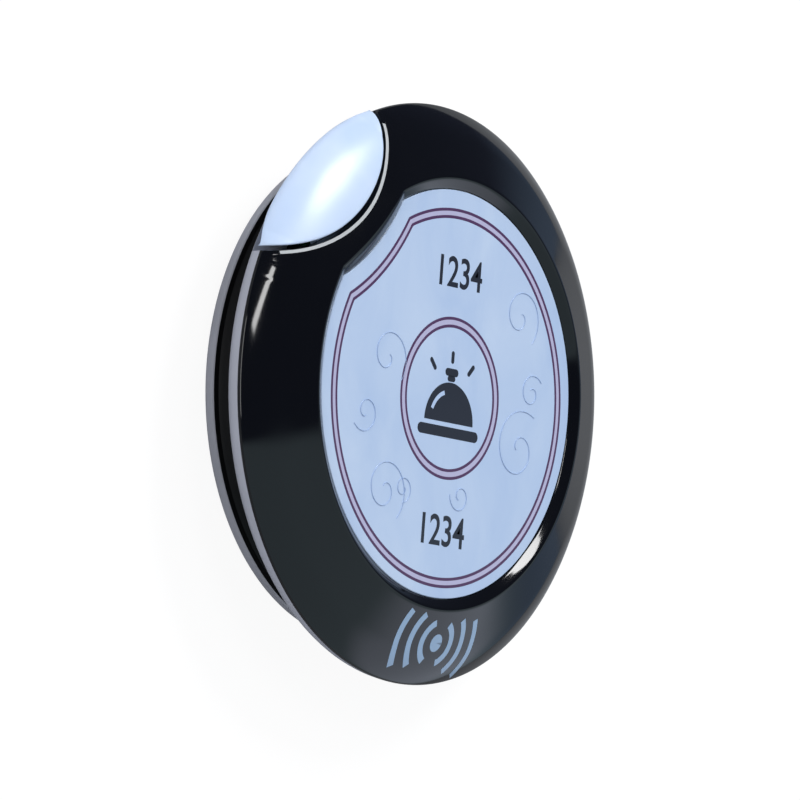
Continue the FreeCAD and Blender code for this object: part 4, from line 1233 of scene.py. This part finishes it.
def metal(name, colour, roughness, scratch_mm, scratch_depth_mm, stretch=(1.0, 1.0, 1.0)):
    """Bare metal with the fine marks that its making leaves."""
    values = {"Base Color": linear(colour), "Metallic": 1.0}
    made, tree, shader = new_material(name, values)
    marks = noise(tree, scratch_mm, {"Detail": 3.0}, {"Scale": stretch})
    dull = spread(tree, marks, roughness * 0.7, roughness * 1.3)
    tree.links.new(dull, shader.inputs["Roughness"])
    relief(tree, shader, marks, 0.5, scratch_depth_mm)
    return made


def dress(finish, *nodes):
    """Puts a finish on CAD nodes that keep their own shape."""
    for node in nodes:
        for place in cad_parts[node].material_slots:
            place.material = finish


# Plated metals: soft grey mirrors that the marks of plating, rolling or drawing blur. Bronze,
# enamelled copper and gilding are warmer in tone.
nickel_plate = metal("nickel_plated_steel", "b9bab9", 0.28, 0.3, 0.004)
zinc_plate = metal("zinc_plated_steel", "a3a7ab", 0.38, 0.12, 0.006)
spring_bronze = metal("tinned_spring_bronze", "cdb98a", 0.3, 0.15, 0.004, (1.0, 6.0, 1.0))
tin_plate = metal("tinned_copper", "c9cccd", 0.3, 0.1, 0.004)
bright_steel = metal("bright_sheet_steel", "bfc2c4", 0.22, 0.1, 0.003, (8.0, 1.0, 1.0))
drawn_steel = metal("drawn_steel_can", "bcbec0", 0.25, 0.2, 0.004, (1.0, 8.0, 1.0))
enamelled_wire = metal("enamelled_copper_wire", "b4643a", 0.2, 0.2, 0.002)
gilded_track = metal("gilded_copper_track", "d0a45c", 0.25, 0.15, 0.003)
# Nylon of the holder and the switch: plain black with a satin sheen and a fine grain
holder_nylon = moulded("black_nylon", "15161a", 0.5, 0.2, 0.01)
dress(nickel_plate, "coin_cell")
dress(zinc_plate, "case_screws", "board_screws")
dress(spring_bronze, "contact_minus", "contact_plus")
dress(holder_nylon, "cell_holder")

# Circuit board
# A round board of glass-fibre laminate under green solder mask. It carries the snap switch below
# the key's lip, the encoder chip, its crystal, the transmitter stage and a loop of gilded copper.

# Green mask under a clear coat, dull chip epoxy, glazed black resistors, chalky tan ceramic, and
# the milky film of the glue
solder_mask = moulded("green_solder_mask", "1c5b3a", 0.3, 0.35, 0.006, coat=0.4, patchy=0.12)
chip_epoxy = moulded("moulded_chip_epoxy", "18191c", 0.6, 0.08, 0.006)
glazed_resistor = moulded("glazed_resistor_body", "1f2125", 0.25, 0.1, 0.002)
fired_ceramic = moulded("fired_tan_ceramic", "a9865f", 0.55, 0.1, 0.004)
glue_film = moulded("adhesive_film", "d9d8cf", 0.5, 0.3, 0.01)
dress(solder_mask, "pcb")
dress(holder_nylon, "switch_base", "switch_stem")
dress(bright_steel, "switch_cover", "switch_dome")
dress(tin_plate, "switch_leads", "encoder_pins")
dress(chip_epoxy, "encoder_chip", "rf_transistor")
dress(drawn_steel, "crystal_can")
dress(glazed_resistor, "resistors")
dress(fired_ceramic, "capacitors")
dress(enamelled_wire, "rf_coil")
dress(gilded_track, "loop_antenna")
dress(glue_film, "face_adhesive")

# Table and studio
# A plain white table under the puck, soft lamps round it, and the camera where the photograph was
# taken: low on the right of the face, rolled so that the face stands nearly upright in the frame.
TILT = math.radians(52.530)
TILT_HEADING = math.radians(0.240)
FACE_ROLL = math.radians(-7.0)
CAMERA_DISTANCE = 772.5
CAMERA_SHIFT = (-2.069, -0.607)
LENS, SENSOR = 340.0, 36.0
normal = Vector(
    (
        math.sin(TILT) * math.cos(TILT_HEADING),
        math.sin(TILT) * math.sin(TILT_HEADING),
        math.cos(TILT),
    )
)
upward = (Vector((0, 1, 0)) - normal * normal.y).normalized()
sideways = upward.cross(normal)
face_x = math.cos(FACE_ROLL) * sideways + math.sin(FACE_ROLL) * upward
face_y = -math.sin(FACE_ROLL) * sideways + math.cos(FACE_ROLL) * upward
right = Vector((face_x.x, face_y.x, normal.x))
above = Vector((face_x.y, face_y.y, normal.y))
behind = Vector((face_x.z, face_y.z, normal.z))
stand = (
    Vector((0, 0, RIM_Z))
    + behind * CAMERA_DISTANCE
    + right * CAMERA_SHIFT[0]
    + above * CAMERA_SHIFT[1]
)
lens = bpy.data.cameras.new("camera")
lens.lens = LENS
lens.sensor_width = SENSOR
lens.clip_start, lens.clip_end = 0.01, 20.0
camera = placed("camera", lens)
turned = Matrix((right, above, behind)).transposed().to_4x4()
camera.matrix_world = Matrix.Translation(stand * MM) @ turned
bpy.context.scene.camera = camera

TABLE_HALF = 1.5
corners = [(x * TABLE_HALF, y * TABLE_HALF, 0) for x, y in ((-1, -1), (1, -1), (1, 1), (-1, 1))]
table_mesh = bpy.data.meshes.new("table")
table_mesh.from_pydata(corners, [], [(0, 1, 2, 3)])
table = placed("table", table_mesh)


def by_ray(tree, test, otherwise, then):
    """One shader for the rays of a test such as Is Camera Ray, another for the rest."""
    rays = add(tree, "ShaderNodeLightPath").outputs[test]
    links = {0: rays, 1: otherwise, 2: then}
    return add(tree, "ShaderNodeMixShader", {}, links).outputs[0]


# The table: even white to the camera, a light shade to what stands on it, dimmer in a gloss
table_values = {"Base Color": linear("5c5c5c"), "Roughness": 0.9, "Specular IOR Level": 0.0}
white_table, tree, shader = new_material("white_table", table_values)
glow = add(tree, "ShaderNodeEmission", {"Strength": 0.92})
lit_glow = add(tree, "ShaderNodeAddShader", {}, {0: glow.outputs[0], 1: shader.outputs[0]})
bright = add(tree, "ShaderNodeBsdfDiffuse", {"Color": linear("e6e6ea")})
dim = add(tree, "ShaderNodeBsdfDiffuse", {"Color": linear("a4a6a9")})
pale = by_ray(tree, "Is Glossy Ray", bright.outputs[0], dim.outputs[0])
seen = by_ray(tree, "Is Camera Ray", pale, lit_glow.outputs[0])
tree.links.new(seen, tree.nodes["Material Output"].inputs["Surface"])
table_mesh.materials.append(white_table)

world = bpy.data.worlds.new("studio")
bpy.context.scene.world = world
world.use_nodes = True
tree = world.node_tree
backdrop = tree.nodes["Background"]
backdrop.inputs["Color"].default_value = linear("ffffff")
backdrop.inputs["Strength"].default_value = 1.0
way = add(tree, "ShaderNodeTexCoord").outputs["Generated"]


def toward(heading, begins, full):
    """How far a direction leans to a heading, as a soft step between two cosines."""
    settings = {"operation": "DOT_PRODUCT", 1: heading}
    lean = add(tree, "ShaderNodeVectorMath", settings, {0: way}).outputs["Value"]
    settings = {"interpolation_type": "SMOOTHSTEP", "From Min": begins, "From Max": full}
    return add(tree, "ShaderNodeMapRange", settings, {"Value": lean}).outputs["Result"]


# What gloss mirrors: a dark room on the side of the key, a dim wall on the other side
WALL_HEADING, WALL_BEGINS, WALL_FULL = (-0.294, 1.0, 0.0), -0.11, -0.17
DARK_ROOM, DIM_WALL = (0.05, 0.06, 0.10, 1), (0.44, 0.56, 0.62, 1)
ROOM_LIGHTS = (
    # heading, cosine where it begins and where it is full, colour
    ((0.78, -0.52, 0.34), 0.90, 0.97, (1.0, 1.1, 1.3, 1)),
    ((1.0, 0.1, 0.0), 0.88, 0.98, (0.16, 0.22, 0.32, 1)),
)
settings = {"data_type": "RGBA", 6: DARK_ROOM, 7: DIM_WALL}
wall = toward(WALL_HEADING, WALL_BEGINS, WALL_FULL)
mirrored = add(tree, "ShaderNodeMix", settings, {0: wall}).outputs[2]
for heading, begins, full, colour in ROOM_LIGHTS:
    share = toward(Vector(heading).normalized(), begins, full)
    settings = {"data_type": "RGBA", 7: colour}
    mirrored = add(tree, "ShaderNodeMix", settings, {0: share, 6: mirrored}).outputs[2]
gloss_room = add(tree, "ShaderNodeBackground", {"Strength": 1.0}, {"Color": mirrored})
fill = add(tree, "ShaderNodeBackground", {"Color": linear("eef2fa"), "Strength": 0.5})
unseen = by_ray(tree, "Is Glossy Ray", fill.outputs[0], gloss_room.outputs[0])
shown = by_ray(tree, "Is Camera Ray", unseen, backdrop.outputs[0])
tree.links.new(shown, tree.nodes["World Output"].inputs["Surface"])

LAMPS = (
    # name, place in metres, width and height, watts
    ("window", (0.16, 0.63, 0.62), (0.28, 0.28), 4.4),
    ("side_window", (-0.351, 0.328, 0.760), (0.32, 0.07), 0.9),
    ("low_lamp", (-0.95, 0.05, 0.30), (0.6, 0.3), 2.0),
)
for name, place, size, power in LAMPS:
    lamp = bpy.data.lights.new(name, "AREA")
    lamp.shape = "RECTANGLE"
    lamp.size, lamp.size_y = size
    lamp.energy = power
    holder = placed(name, lamp)
    holder.location = place
    holder.rotation_euler = (-Vector(place)).to_track_quat("-Z", "Y").to_euler()

bpy.context.scene.view_settings.view_transform = "Standard"
